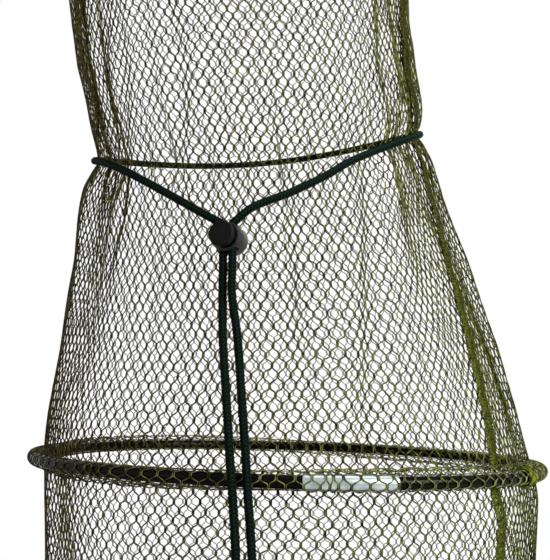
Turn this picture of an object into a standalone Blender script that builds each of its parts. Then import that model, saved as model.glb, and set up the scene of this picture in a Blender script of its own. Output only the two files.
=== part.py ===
"""Keep net: a tube of netting hung from a mouth hoop, drawn in at the neck by a cord with a lock.

Metres, +Z up. The origin is where the top of a bank stick seats, under the stand block at the back of
the mouth hoop. The front is -Y. Azimuths run round the net from +X. The points of the cords are measured
from the centre of hoop 1, the first wide hoop.
"""
import math

import bmesh
import bpy
from mathutils import Matrix, Vector

MODEL_NAME = "keep_net"
TURN = 2.0 * math.pi
QUARTER = 0.5 * math.pi

# Clearances
GAP = 0.0003
OVERRUN = 0.004
MERGE_DISTANCE = 0.00001

# Facets
HOOP_STEPS = 40
ROD_RESOLUTION = 3
CORD_RESOLUTION = 2
WIRE_RESOLUTION = 1
STUD_STEPS = 18
LOCK_STEPS = 24
SCREW_STEPS = 12
KNOT_SEGMENTS = 12
KNOT_RINGS = 8
EDGE_SEGMENTS = 2

# Stand stud, with the seat of its collar at the origin
STUD_RADIUS = 0.0048
STUD_LENGTH = 0.013
STUD_CHAMFER = 0.0008
COLLAR_RADIUS = 0.009
COLLAR_HEIGHT = 0.004
SPIGOT_RADIUS = 0.0042
SPIGOT_LENGTH = 0.006

# Stand block and its cap, clamped round the mouth hoop
BLOCK_WIDTH = 0.034
BLOCK_HEIGHT = 0.026
BLOCK_BACK = 0.0125
BLOCK_REACH = 0.0165
BLOCK_EDGE = 0.002
CAP_DEPTH = 0.0062
CAP_EDGE = 0.0012
SCREW_SPREAD = 0.0085
SCREW_RADIUS = 0.0015
SCREW_LENGTH = 0.0165
SCREW_HEAD_RADIUS = 0.0028
SCREW_HEAD_HEIGHT = 0.0022
SOCKET_RADIUS = 0.0013
SOCKET_DEPTH = 0.0012

# Hoops: rods, ferrules and net sleeves
ROD_RADIUS = 0.00375
ROD_END_GAP = 0.0012
MOUTH_RADIUS = 0.1375
HOOP_RADIUS = 0.1705
HOOP_1_TILT = math.radians(1.63)
FERRULE_LENGTH = 0.052
FERRULE_WALL = 0.0005
FERRULE_CLEARANCE = 0.00035
FERRULE_AZIMUTHS = (math.radians(-79.2), math.radians(112.0), math.radians(-30.0))
SLEEVE_WALL = 0.0005
SLEEVE_CLEARANCE = 0.0008
SLEEVE_ARC = math.radians(75.0)
SLEEVE_ARC_SIDES = 3
SLEEVE_GAP = 0.001

# Netting
NET_WALL = 0.0012
MOUTH_DROP = 0.430
HOOP_SPACING = 0.260
NECK_LEAN = math.radians(5.0)
NET_MOUTH_INSET = 0.0085
NET_HOOP_INSET = 0.0075
NET_MOUTH_RADIUS = MOUTH_RADIUS - NET_MOUTH_INSET
NET_HOOP_RADIUS = HOOP_RADIUS - NET_HOOP_INSET
NET_WAIST_RADIUS = 0.1097
NET_MOUTH_LAP = 0.004
BASE_DROP = 0.004
SECTION_GAP = 0.0006
WAIST_GAP = 0.0012
FOLD_COUNT = 10
FOLD_DEPTH = 0.0025
WAIST_HEIGHT = 0.2153
WAIST_BACK_RISE = 0.027
WAIST_RIGHT_RISE = 0.0095
WAIST_SIDE_RISE = 0.0062
GRID_COLUMNS = 20
GRID_ROWS = 4
GRID_RIB = 0.006
GRID_EDGE = 0.013

# Each row of a stretch of netting: how far down it lies, how far its radius has gone from the upper one
# to the lower one, how full it stands and how deep its folds are
NECK_SHARES = ((0.0, 0.0, 1.0, 0.0), (0.477, 0.36, 1.0, 0.6), (0.7, 0.49, 1.0, 0.9), (0.897, 0.66, 1.0, 1.0),
               (1.0, 1.0, 1.0, 0.5))
SHOULDER_SHARES = ((0.0, 0.0, 1.0, 0.5), (0.08, 0.21, 1.0, 0.9), (0.3, 0.44, 1.0, 0.7), (0.5, 0.63, 1.0, 0.4),
                   (0.75, 0.85, 1.0, 0.2), (1.0, 1.0, 1.0, 0.0))
BODY_SHARES = ((0.0, 0.0, 1.0, 0.0), (0.12, 0.12, 1.012, 0.0), (0.5, 0.5, 0.978, 0.0), (1.0, 1.0, 1.0, 0.0))

# Side seam
SEAM_RADIUS = 0.0019
SEAM_HOOP_CLEARANCE = 0.0085
SEAM_CORD_CLEARANCE = 0.0055
SEAM_MOUTH_AZIMUTH = math.radians(-33.0)
SEAM_WAIST_AZIMUTH = math.radians(-24.0)
SEAM_HOOP_AZIMUTH = math.radians(-41.5)

# Drawstring
CORD_RADIUS = 0.00235
CORD_POINT_SPACING = 0.0115
CORD_BEND_STEP = math.radians(15.0)
CURVE_STEPS = 12
TIE_CLEARANCE = 0.0013
TIE_STEP = math.radians(19.0)
TIE_LEFT_AZIMUTH = math.radians(211.0)
TIE_RIGHT_AZIMUTH = math.radians(-51.0)
LEFT_V_ROUTE = ((-0.0387, -0.1438, 0.1460), (-0.0450, -0.1400, 0.1486), (-0.0600, -0.1285, 0.1575),
                (-0.0795, -0.1100, 0.1700), (-0.0940, -0.0945, 0.1795), (-0.1035, -0.0822, 0.1862))
RIGHT_V_ROUTE = ((-0.0290, -0.1438, 0.1466), (-0.0200, -0.1415, 0.1520), (0.0010, -0.1315, 0.1622),
                 (0.0214, -0.1198, 0.1752), (0.0364, -0.1082, 0.1868))
LEFT_TAIL_ROUTE = ((-0.0365, -0.1560, 0.0750), (-0.0340, -0.1665, 0.0440), (-0.0318, -0.1748, 0.0160),
                   (-0.0302, -0.1775, -0.0040), (-0.0285, -0.1782, -0.0300), (-0.0270, -0.1778, -0.0700),
                   (-0.0258, -0.1785, -0.1100), (-0.0252, -0.1800, -0.1480))
RIGHT_TAIL_ROUTE = ((-0.0284, -0.1562, 0.0750), (-0.0258, -0.1668, 0.0440), (-0.0235, -0.1752, 0.0160),
                    (-0.0222, -0.1780, -0.0040), (-0.0203, -0.1788, -0.0300), (-0.0182, -0.1784, -0.0700),
                    (-0.0166, -0.1792, -0.1100), (-0.0158, -0.1810, -0.1560))
TAILS = (("left", -1.0, LEFT_TAIL_ROUTE), ("right", 1.0, RIGHT_TAIL_ROUTE))
KNOT_RADIUS = 0.0052
KNOT_LENGTH = 0.0125

# Cord lock: its centre on the cords, off the shoulder of netting, its turn and lean, and its pieces along
# the barrel
LOCK_HEIGHT = 0.1332
LOCK_AZIMUTH = math.radians(-98.9)
LOCK_STANDOFF = 0.01665
LOCK_YAW = math.radians(-22.0)
LOCK_LEAN = math.radians(-8.0)
LOCK_RADIUS = 0.0085
LOCK_FRONT = 0.0042
LOCK_BACK = 0.0102
LOCK_ROUND = 0.0014
LOCK_BORE_RADIUS = 0.0068
LOCK_FLOOR = 0.0015
LOCK_LEAD = 0.002
LOCK_SLIDE = 0.025
CORD_SPACING = 0.0058
CORD_HOLE_CLEARANCE = 0.00045
STEM_RADIUS = 0.0064
STEM_BACK = 0.0042
BUTTON_RADIUS = 0.0073
BUTTON_HEIGHT = 0.0037
BUTTON_ROUND = 0.0012
BUTTON_TRAVEL = 0.0025
SPRING_RADIUS = 0.0042
SPRING_WIRE_RADIUS = 0.0003
SPRING_TURNS = 3
SPRING_POINTS_PER_TURN = 9

# Places that follow from the sizes
MOUTH_CENTRE = Vector((0.0, -BLOCK_REACH - MOUTH_RADIUS, COLLAR_HEIGHT + GAP + 0.5 * BLOCK_HEIGHT))
HOOP_1_CENTRE = MOUTH_CENTRE + Vector((MOUTH_DROP * math.tan(NECK_LEAN), 0.0, -MOUTH_DROP))
HOOP_2_CENTRE = HOOP_1_CENTRE - Vector((0.0, 0.0, HOOP_SPACING))
HOOP_3_CENTRE = HOOP_2_CENTRE - Vector((0.0, 0.0, HOOP_SPACING))
BUTTON_BASE = LOCK_FRONT + BUTTON_TRAVEL + GAP
CORD_TOP = LOCK_RADIUS + LOCK_LEAD


def clear_scene():
    """Remove what the scene holds, so that the model stands alone."""
    for item in list(bpy.data.objects):
        bpy.data.objects.remove(item, do_unlink=True)


def make_material(name, colour, roughness, metallic=0.0):
    """A plain finish for a piece."""
    material = bpy.data.materials.new(name)
    material.use_nodes = True
    shader = material.node_tree.nodes["Principled BSDF"]
    shader.inputs["Base Color"].default_value = (*colour, 1.0)
    shader.inputs["Roughness"].default_value = roughness
    shader.inputs["Metallic"].default_value = metallic
    material.diffuse_color = (*colour, 1.0)
    return material


def make_materials():
    """The finishes of the netting, cords, rods and fittings."""
    return {
        "netting": make_material("netting", (0.105, 0.125, 0.026), 0.7),
        "seam": make_material("seam", (0.13, 0.21, 0.03), 0.75),
        "cord": make_material("cord", (0.006, 0.022, 0.018), 0.6),
        "rod": make_material("rod", (0.008, 0.007, 0.007), 0.22),
        "aluminium": make_material("aluminium", (0.72, 0.74, 0.75), 0.28, 1.0),
        "moulding": make_material("moulding", (0.012, 0.012, 0.013), 0.45),
        "brass": make_material("brass", (0.62, 0.43, 0.16), 0.3, 1.0),
        "steel": make_material("steel", (0.45, 0.45, 0.46), 0.35, 1.0),
    }


class Bench:
    """The collections and finishes that every piece is made with."""

    def __init__(self):
        self.parts = bpy.data.collections.new(MODEL_NAME)
        self.cutters = bpy.data.collections.new("cutters")
        self.cutters.hide_render = True
        for collection in (self.parts, self.cutters):
            bpy.context.scene.collection.children.link(collection)
        self.materials = make_materials()

    def body(self, name, place):
        """An empty that a group of pieces moves with."""
        empty = bpy.data.objects.new(name, None)
        empty.location = place
        empty.empty_display_size = HOOP_RADIUS
        self.parts.objects.link(empty)
        return empty

    def piece(self, name, data, material, matrix=None, parent=None):
        """A named piece, placed in the world and parented to its body."""
        thing = bpy.data.objects.new(name, data)
        self.parts.objects.link(thing)
        data.materials.append(self.materials[material])
        thing.matrix_world = matrix or Matrix.Identity(4)
        if parent:
            thing.parent = parent
            thing.matrix_parent_inverse = Matrix.Translation(parent.location).inverted()
        return thing

    def cutter(self, name, data, matrix=None):
        """A guide solid that is cut from a piece and left out of the model."""
        thing = bpy.data.objects.new(name, data)
        self.cutters.objects.link(thing)
        thing.matrix_world = matrix or Matrix.Identity(4)
        thing.hide_render = True
        thing.display_type = "WIRE"
        return thing


def cut(piece, cutter):
    """Cut one solid from another."""
    modifier = piece.modifiers.new("cut_" + cutter.name, "BOOLEAN")
    modifier.operation = "DIFFERENCE"
    modifier.solver = "EXACT"
    modifier.object = cutter


def round_edges(piece, width):
    """Round the sharp edges of a block."""
    modifier = piece.modifiers.new("round_edges", "BEVEL")
    modifier.width = width
    modifier.segments = EDGE_SEGMENTS
    modifier.limit_method = "ANGLE"


def box_mesh(name, low, high):
    """A box between two corners."""
    mesh = bpy.data.meshes.new(name)
    work = bmesh.new()
    size = high - low
    place = Matrix.Translation((low + high) * 0.5) @ Matrix.Diagonal((*size, 1.0))
    bmesh.ops.create_cube(work, size=1.0, matrix=place)
    work.to_mesh(mesh)
    work.free()
    return mesh


def rod_mesh(name, radius, low, high, steps):
    """A plain round bar along Z."""
    mesh = bpy.data.meshes.new(name)
    work = bmesh.new()
    middle = Matrix.Translation((0.0, 0.0, 0.5 * (low + high)))
    bmesh.ops.create_cone(work, cap_ends=True, segments=steps, radius1=radius, radius2=radius,
                          depth=high - low, matrix=middle)
    work.to_mesh(mesh)
    work.free()
    return mesh


def profile_mesh(name, points, closed):
    """An outline in the XZ plane, ready to be turned about Z."""
    mesh = bpy.data.meshes.new(name)
    count = len(points)
    edges = [(i, i + 1) for i in range(count - 1)]
    if closed:
        edges.append((count - 1, 0))
    mesh.from_pydata([(radius, 0.0, height) for radius, height in points], edges, [])
    return mesh


def turn_about_axis(piece, steps):
    """Turn a piece's outline through a full circle."""
    modifier = piece.modifiers.new("turn", "SCREW")
    modifier.axis = "Z"
    modifier.angle = TURN
    modifier.steps = steps
    modifier.render_steps = steps
    modifier.use_merge_vertices = True
    modifier.merge_threshold = MERGE_DISTANCE
    modifier.use_smooth_shade = True


def tube_curve(name, points, radius, resolution):
    """A round tube along a run of points, closed at both ends."""
    curve = bpy.data.curves.new(name, "CURVE")
    curve.dimensions = "3D"
    curve.bevel_depth = radius
    curve.bevel_resolution = resolution
    curve.use_fill_caps = True
    spline = curve.splines.new("POLY")
    spline.points.add(len(points) - 1)
    for target, point in zip(spline.points, points):
        target.co = (*point, 1.0)
    return curve


def tube_mesh(name, points, radius, resolution):
    """The same tube as a closed mesh, for cutting."""
    curve = tube_curve(name, points, radius, resolution)
    thing = bpy.data.objects.new(name + "_curve", curve)
    bpy.context.scene.collection.objects.link(thing)
    bpy.context.view_layer.update()
    evaluated = thing.evaluated_get(bpy.context.evaluated_depsgraph_get())
    mesh = bpy.data.meshes.new_from_object(evaluated)
    mesh.name = name
    bpy.data.objects.remove(thing, do_unlink=True)
    work = bmesh.new()
    work.from_mesh(mesh)
    bmesh.ops.remove_doubles(work, verts=work.verts, dist=MERGE_DISTANCE)
    work.to_mesh(mesh)
    work.free()
    return mesh


def smooth_curve(points, before, after):
    """Close points along a smooth curve through the given ones, steered by one more point at each end."""
    guides = [before] + points + [after]
    fine = []
    for first, start, stop, last in zip(guides, guides[1:], guides[2:], guides[3:]):
        steps = max(2, math.ceil(CURVE_STEPS * (stop - start).length / CORD_POINT_SPACING))
        for step in range(steps):
            t = step / steps
            fine.append(0.5 * ((2.0 * start) + (stop - first) * t
                               + (2.0 * first - 5.0 * start + 4.0 * stop - last) * t ** 2
                               + (3.0 * start - first - 3.0 * stop + last) * t ** 3))
    fine.append(points[-1])
    return fine


def cord_points(points, before, after):
    """The points of a cord: one at each spacing, and closer where it bends."""
    fine = smooth_curve(points, before, after)
    kept = [fine[0]]
    heading = fine[1] - fine[0]
    run = 0.0
    for behind, here, ahead in zip(fine, fine[1:], fine[2:]):
        run += (here - behind).length
        if run >= CORD_POINT_SPACING or heading.angle(ahead - here) >= CORD_BEND_STEP:
            kept.append(here)
            heading = ahead - here
            run = 0.0
    if run < 0.5 * CORD_POINT_SPACING and len(kept) > 2:
        kept.pop()
    return kept + [fine[-1]]


def offset_line(points, outwards, distance):
    """A line moved off the surface that it lies on, with its corners mitred."""
    normals = []
    for start, stop, outward in zip(points, points[1:], outwards):
        along = (stop - start).normalized()
        normals.append((outward - along * outward.dot(along)).normalized())
    moved = []
    for point, before, after in zip(points, normals[:1] + normals, normals + normals[-1:]):
        corner = (before + after).normalized()
        moved.append(point + corner * distance / corner.dot(after))
    return moved


def waist_height(azimuth):
    """Height of the drawstring round the neck, above the centre of hoop 1."""
    return (WAIST_HEIGHT + WAIST_BACK_RISE * math.sin(azimuth) + WAIST_RIGHT_RISE * math.cos(azimuth)
            + WAIST_SIDE_RISE * math.cos(2.0 * azimuth))


def axis_at(height):
    """Centre of the net tube at a world height: it leans between hoop 1 and the mouth."""
    above = max(0.0, height - HOOP_1_CENTRE.z)
    return Vector((HOOP_1_CENTRE.x - above * math.tan(NECK_LEAN), HOOP_1_CENTRE.y, height))


class NetStretch:
    """A stretch of the net tube, as a coarse grid of openings whose ribs follow its seam.

    Its two edges are world heights that may change with azimuth.
    """

    def __init__(self, edges, radii, shares, seam_azimuths):
        self.top, self.bottom = edges
        self.top_radius, self.bottom_radius = radii
        self.shares = shares
        self.seam_start, self.seam_stop = seam_azimuths
        self.rows = self.row_shares()

    def row_shares(self):
        """How far down each row of the grid's corners lies, as a share of the stretch."""
        length = self.top(self.seam_start) - self.bottom(self.seam_stop)
        pitch = (length - 2.0 * GRID_EDGE) / GRID_ROWS
        drops = [0.0, GRID_EDGE]
        for row in range(1, GRID_ROWS):
            middle = GRID_EDGE + pitch * row
            drops += [middle - 0.5 * GRID_RIB, middle + 0.5 * GRID_RIB]
        drops += [length - GRID_EDGE, length]
        return [drop / length for drop in drops]

    def radius(self, along, azimuth):
        """Radius of the netting at a share of the way down."""
        for upper, lower in zip(self.shares, self.shares[1:]):
            if along <= lower[0]:
                break
        blend = (along - upper[0]) / (lower[0] - upper[0])
        change, full, fold = (a + (b - a) * blend for a, b in zip(upper[1:], lower[1:]))
        plain = self.top_radius + (self.bottom_radius - self.top_radius) * change
        return plain * full + FOLD_DEPTH * fold * math.cos(FOLD_COUNT * azimuth)

    def point(self, along, azimuth, outward=0.0):
        """A point on the netting, or a given distance outside it."""
        height = self.top(azimuth) + (self.bottom(azimuth) - self.top(azimuth)) * along
        radius = self.radius(along, azimuth) + outward
        return axis_at(height) + Vector((radius * math.cos(azimuth), radius * math.sin(azimuth), 0.0))

    def share_below_top(self, drop, azimuth):
        """The share of the way down that lies a given drop under the top edge."""
        return drop / (self.top(azimuth) - self.bottom(azimuth))

    def seam_azimuth(self, along):
        """Azimuth of the seam, and of the rib under it, at a share of the way down."""
        return self.seam_start + (self.seam_stop - self.seam_start) * along

    def rib_point(self, along):
        """A point on the middle of the rib under the seam, which runs straight from row to row."""
        for upper, lower in zip(self.rows, self.rows[1:]):
            if along <= lower:
                break
        start, stop = (self.point(row, self.seam_azimuth(row)) for row in (upper, lower))
        return start.lerp(stop, (along - upper) / (lower - upper))

    def seam_points(self, clearances):
        """Points of the seam, which lies on its rib and stops short of what crosses it at each end."""
        start = self.share_below_top(clearances[0], self.seam_start)
        stop = 1.0 - self.share_below_top(clearances[1], self.seam_stop)
        margin = self.share_below_top(SEAM_RADIUS, self.seam_start)
        inner = [row for row in self.rows if start + margin < row < stop - margin]
        shares = [start] + inner + [stop]
        azimuths = [self.seam_azimuth(share) for share in shares]
        outwards = [Vector((math.cos(azimuth), math.sin(azimuth), 0.0)) for azimuth in azimuths]
        return offset_line([self.rib_point(share) for share in shares], outwards,
                           0.5 * NET_WALL + GAP + SEAM_RADIUS)

    def mesh(self, name):
        """The surface of the netting."""
        half_turn = 0.5 * GRID_RIB / self.bottom_radius
        turns = [TURN * column / GRID_COLUMNS + side * half_turn
                 for column in range(GRID_COLUMNS) for side in (-1.0, 1.0)]
        mesh = bpy.data.meshes.new(name)
        count = len(turns)
        verts = [self.point(row, self.seam_azimuth(row) + turn) for row in self.rows for turn in turns]
        faces = []
        for row in range(len(self.rows) - 1):
            for column in range(count):
                is_opening = row % 2 == 1 and column % 2 == 1
                if is_opening:
                    continue
                beside = (column + 1) % count
                upper, lower = row * count, (row + 1) * count
                faces.append((lower + column, lower + beside, upper + beside, upper + column))
        mesh.from_pydata(verts, [], faces)
        mesh.shade_smooth()
        return mesh


def mouth_edge(azimuth):
    """Top edge of the neck's netting."""
    return MOUTH_CENTRE.z - NET_MOUTH_LAP


def waist_top(azimuth):
    """Lower edge of the neck's netting, above the drawstring."""
    return HOOP_1_CENTRE.z + waist_height(azimuth) + 0.5 * WAIST_GAP


def waist_bottom(azimuth):
    """Upper edge of the shoulder's netting, under the drawstring."""
    return HOOP_1_CENTRE.z + waist_height(azimuth) - 0.5 * WAIST_GAP


def hoop_1_plane(azimuth):
    """Height of the first hoop's tilted plane at the netting."""
    return HOOP_1_CENTRE.z - NET_HOOP_RADIUS * math.cos(azimuth) * math.tan(HOOP_1_TILT)


def hoop_1_top(azimuth):
    """Lower edge of the shoulder's netting."""
    return hoop_1_plane(azimuth) + 0.5 * SECTION_GAP


def hoop_1_bottom(azimuth):
    """Upper edge of the netting under the first hoop."""
    return hoop_1_plane(azimuth) - 0.5 * SECTION_GAP


def hoop_2_top(azimuth):
    """Lower edge of the netting over the second hoop."""
    return HOOP_2_CENTRE.z + 0.5 * SECTION_GAP


def hoop_2_bottom(azimuth):
    """Upper edge of the netting under the second hoop."""
    return HOOP_2_CENTRE.z - 0.5 * SECTION_GAP


def base_edge(azimuth):
    """Lower edge of the netting at the base."""
    return HOOP_3_CENTRE.z - BASE_DROP


NECK = NetStretch((mouth_edge, waist_top), (NET_MOUTH_RADIUS, NET_WAIST_RADIUS), NECK_SHARES,
                  (SEAM_MOUTH_AZIMUTH, SEAM_WAIST_AZIMUTH))
SHOULDER = NetStretch((waist_bottom, hoop_1_top), (NET_WAIST_RADIUS, NET_HOOP_RADIUS), SHOULDER_SHARES,
                      (SEAM_WAIST_AZIMUTH, SEAM_HOOP_AZIMUTH))
UPPER = NetStretch((hoop_1_bottom, hoop_2_top), (NET_HOOP_RADIUS, NET_HOOP_RADIUS), BODY_SHARES,
                   (SEAM_HOOP_AZIMUTH, SEAM_HOOP_AZIMUTH))
LOWER = NetStretch((hoop_2_bottom, base_edge), (NET_HOOP_RADIUS, NET_HOOP_RADIUS), BODY_SHARES,
                   (SEAM_HOOP_AZIMUTH, SEAM_HOOP_AZIMUTH))
LOCK_DROP = waist_bottom(LOCK_AZIMUTH) - HOOP_1_CENTRE.z - LOCK_HEIGHT
LOCK_SHARE = SHOULDER.share_below_top(LOCK_DROP, LOCK_AZIMUTH)
LOCK_CENTRE = SHOULDER.point(LOCK_SHARE, LOCK_AZIMUTH, LOCK_STANDOFF)
LOCK_FRAME = (Matrix.Translation(LOCK_CENTRE) @ Matrix.Rotation(LOCK_LEAN, 4, "X")
              @ Matrix.Rotation(LOCK_YAW, 4, "Z"))
BARREL_FRAME = LOCK_FRAME @ Matrix.Rotation(QUARTER, 4, "X")


def make_net(bench, name, stretch, parent):
    """A stretch of netting as a thin wall."""
    piece = bench.piece(name, stretch.mesh(name), "netting", parent=parent)
    thickness = piece.modifiers.new("thickness", "SOLIDIFY")
    thickness.thickness = NET_WALL
    thickness.offset = 0.0
    return piece


def make_base(bench, parent):
    """The flat net that closes the base, inside the lowest sleeve."""
    radius = NET_HOOP_RADIUS + 0.5 * NET_WALL
    top = -BASE_DROP - GAP
    mesh = rod_mesh("net_base", radius, top - NET_WALL, top, HOOP_STEPS)
    return bench.piece("net_base", mesh, "netting", Matrix.Translation(HOOP_3_CENTRE), parent)


def make_seam(bench, name, stretch, clearances, parent):
    """The overlocked seam down a stretch of netting."""
    tube = tube_curve(name, stretch.seam_points(clearances), SEAM_RADIUS, CORD_RESOLUTION)
    return bench.piece(name, tube, "seam", parent=parent)


def hoop_points(radius, start, stop):
    """Points round a hoop from one angle to another, on facets that all its pieces share."""
    step = TURN / HOOP_STEPS
    angles = [start]
    angles += [step * index for index in range(math.floor(start / step) + 1, math.ceil(stop / step))]
    angles.append(stop)
    return [(radius * math.cos(angle), radius * math.sin(angle), 0.0) for angle in angles]


def make_rod(bench, name, radius, frame, parent):
    """A hoop's rod, whose two ends meet where its ferrule or block holds them."""
    half_gap = 0.5 * ROD_END_GAP / radius
    points = hoop_points(radius, half_gap, TURN - half_gap)
    return bench.piece(name, tube_curve(name, points, ROD_RADIUS, ROD_RESOLUTION), "rod", frame, parent)


def make_ferrule(bench, name, frame, parent):
    """The curved tube over the ends of a hoop's rod."""
    bore = ROD_RADIUS + FERRULE_CLEARANCE
    half = 0.5 * FERRULE_LENGTH / HOOP_RADIUS
    beyond = half + OVERRUN / HOOP_RADIUS
    outer = tube_mesh(name, hoop_points(HOOP_RADIUS, -half, half), bore + FERRULE_WALL, ROD_RESOLUTION)
    inner = tube_mesh(name + "_bore", hoop_points(HOOP_RADIUS, -beyond, beyond), bore, ROD_RESOLUTION)
    piece = bench.piece(name, outer, "aluminium", frame, parent)
    cut(piece, bench.cutter(name + "_bore", inner, frame))
    return piece


def make_sleeve(bench, name, hoop_radius, net_radius, frame, parent):
    """The strip of netting sewn round the outside of the tube, with the hoop lying in it."""
    held = ROD_RADIUS + FERRULE_CLEARANCE + FERRULE_WALL
    half_side = SLEEVE_ARC / SLEEVE_ARC_SIDES
    inner = (held + SLEEVE_CLEARANCE - SLEEVE_WALL) / math.cos(half_side)
    outer = inner + SLEEVE_WALL
    hem_radius = net_radius + 0.5 * NET_WALL + SLEEVE_GAP
    hem_height = outer * math.sin(SLEEVE_ARC)
    angles = [SLEEVE_ARC - 2.0 * half_side * side for side in range(SLEEVE_ARC_SIDES + 1)]
    outline = [(hem_radius, hem_height + 0.5 * SLEEVE_WALL)]
    outline += [(hoop_radius + outer * math.cos(angle), outer * math.sin(angle)) for angle in angles]
    outline.append((hem_radius, -hem_height - 0.5 * SLEEVE_WALL))
    outline.append((hem_radius, -hem_height + 0.5 * SLEEVE_WALL))
    angles.reverse()
    outline += [(hoop_radius + inner * math.cos(angle), inner * math.sin(angle)) for angle in angles]
    outline.append((hem_radius, hem_height - 0.5 * SLEEVE_WALL))
    piece = bench.piece(name, profile_mesh(name, outline, closed=True), "netting", frame, parent)
    turn_about_axis(piece, HOOP_STEPS)
    return piece


def hoop_frame(centre, tilt, azimuth):
    """Place of a hoop, tilted about Y, with its joint at an azimuth."""
    return Matrix.Translation(centre) @ Matrix.Rotation(tilt, 4, "Y") @ Matrix.Rotation(azimuth, 4, "Z")


def make_hoop(bench, name, frame, parent):
    """A wide hoop: rod, ferrule and sleeve."""
    make_rod(bench, name + "_rod", HOOP_RADIUS, frame, parent)
    make_ferrule(bench, name + "_ferrule", frame, parent)
    make_sleeve(bench, name + "_sleeve", HOOP_RADIUS, NET_HOOP_RADIUS, frame, parent)


def make_stud(bench, parent):
    """The brass stud: its collar seats on the bank stick, and its spigot is held in the block."""
    outline = (
        (0.0, COLLAR_HEIGHT + SPIGOT_LENGTH),
        (SPIGOT_RADIUS, COLLAR_HEIGHT + SPIGOT_LENGTH),
        (SPIGOT_RADIUS, COLLAR_HEIGHT),
        (COLLAR_RADIUS, COLLAR_HEIGHT),
        (COLLAR_RADIUS, 0.0),
        (STUD_RADIUS, 0.0),
        (STUD_RADIUS, STUD_CHAMFER - STUD_LENGTH),
        (STUD_RADIUS - STUD_CHAMFER, -STUD_LENGTH),
        (0.0, -STUD_LENGTH),
    )
    piece = bench.piece("stand_stud", profile_mesh("stand_stud", outline, closed=False), "brass",
                        parent=parent)
    turn_about_axis(piece, STUD_STEPS)
    return piece


def make_clamp(bench, parent):
    """The stand block, its cap and its two screws, closed round the ends of the mouth hoop's rod."""
    half_width = 0.5 * BLOCK_WIDTH
    bottom, top = COLLAR_HEIGHT + GAP, COLLAR_HEIGHT + GAP + BLOCK_HEIGHT
    face = -BLOCK_REACH - CAP_DEPTH
    block_box = box_mesh("stand_block", Vector((-half_width, -BLOCK_REACH + 0.5 * GAP, bottom)),
                         Vector((half_width, BLOCK_BACK, top)))
    cap_box = box_mesh("block_cap", Vector((-half_width, face, bottom)),
                       Vector((half_width, -BLOCK_REACH - 0.5 * GAP, top)))
    block = bench.piece("stand_block", block_box, "moulding", parent=parent)
    cap = bench.piece("block_cap", cap_box, "moulding", parent=parent)
    round_edges(block, BLOCK_EDGE)
    round_edges(cap, CAP_EDGE)
    reach = BLOCK_WIDTH / MOUTH_RADIUS
    channel = tube_mesh("rod_channel", hoop_points(MOUTH_RADIUS, -reach, reach),
                        ROD_RADIUS + FERRULE_CLEARANCE, ROD_RESOLUTION)
    channel_cutter = bench.cutter("rod_channel", channel, hoop_frame(MOUTH_CENTRE, 0.0, QUARTER))
    spigot = rod_mesh("spigot_hole", SPIGOT_RADIUS + GAP, bottom - OVERRUN,
                      COLLAR_HEIGHT + SPIGOT_LENGTH + GAP, STUD_STEPS)
    cut(block, channel_cutter)
    cut(cap, channel_cutter)
    cut(block, bench.cutter("spigot_hole", spigot))
    for name, side in (("upper", 1.0), ("lower", -1.0)):
        place = Vector((0.0, face, MOUTH_CENTRE.z + side * SCREW_SPREAD))
        frame = Matrix.Translation(place) @ Matrix.Rotation(QUARTER, 4, "X")
        hole = rod_mesh("screw_hole_" + name, SCREW_RADIUS + GAP, -SCREW_LENGTH - GAP, OVERRUN, SCREW_STEPS)
        recess = rod_mesh("screw_recess_" + name, SCREW_HEAD_RADIUS + GAP, -SCREW_HEAD_HEIGHT - GAP,
                          OVERRUN, SCREW_STEPS)
        hole_cutter = bench.cutter("screw_hole_" + name, hole, frame)
        cut(block, hole_cutter)
        cut(cap, hole_cutter)
        cut(cap, bench.cutter("screw_recess_" + name, recess, frame))
        make_screw(bench, "block_screw_" + name, frame, parent)


def make_screw(bench, name, frame, parent):
    """A socket screw whose head lies flush in the cap."""
    outline = (
        (0.0, -SOCKET_DEPTH),
        (SOCKET_RADIUS, -SOCKET_DEPTH),
        (SOCKET_RADIUS, 0.0),
        (SCREW_HEAD_RADIUS, 0.0),
        (SCREW_HEAD_RADIUS, -SCREW_HEAD_HEIGHT),
        (SCREW_RADIUS, -SCREW_HEAD_HEIGHT),
        (SCREW_RADIUS, -SCREW_LENGTH),
        (0.0, -SCREW_LENGTH),
    )
    piece = bench.piece(name, profile_mesh(name, outline, closed=False), "steel", frame, parent)
    turn_about_axis(piece, SCREW_STEPS)
    return piece


def make_mouth(bench):
    """The mouth hoop with its block, sleeve and neck of netting."""
    body = bench.body("mouth", MOUTH_CENTRE)
    frame = hoop_frame(MOUTH_CENTRE, 0.0, QUARTER)
    make_rod(bench, "mouth_hoop_rod", MOUTH_RADIUS, frame, body)
    sleeve = make_sleeve(bench, "mouth_sleeve", MOUTH_RADIUS, NET_MOUTH_RADIUS, frame, body)
    half_width = 0.5 * BLOCK_WIDTH + GAP
    window = box_mesh("block_window", Vector((-half_width, -BLOCK_REACH - BLOCK_WIDTH, 0.0)),
                      Vector((half_width, BLOCK_BACK, MOUTH_CENTRE.z + BLOCK_HEIGHT)))
    cut(sleeve, bench.cutter("block_window", window))
    make_stud(bench, body)
    make_clamp(bench, body)
    make_net(bench, "net_neck", NECK, body)
    make_seam(bench, "seam_neck", NECK, (SEAM_HOOP_CLEARANCE, SEAM_CORD_CLEARANCE), body)


def tie_point(azimuth):
    """Centre of the drawstring where it lies round the neck."""
    height = HOOP_1_CENTRE.z + waist_height(azimuth)
    crest = NET_WAIST_RADIUS + FOLD_DEPTH * NECK_SHARES[-1][-1]
    radius = crest + 0.5 * NET_WALL + TIE_CLEARANCE + CORD_RADIUS
    return axis_at(height) + Vector((radius * math.cos(azimuth), radius * math.sin(azimuth), 0.0))


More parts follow.
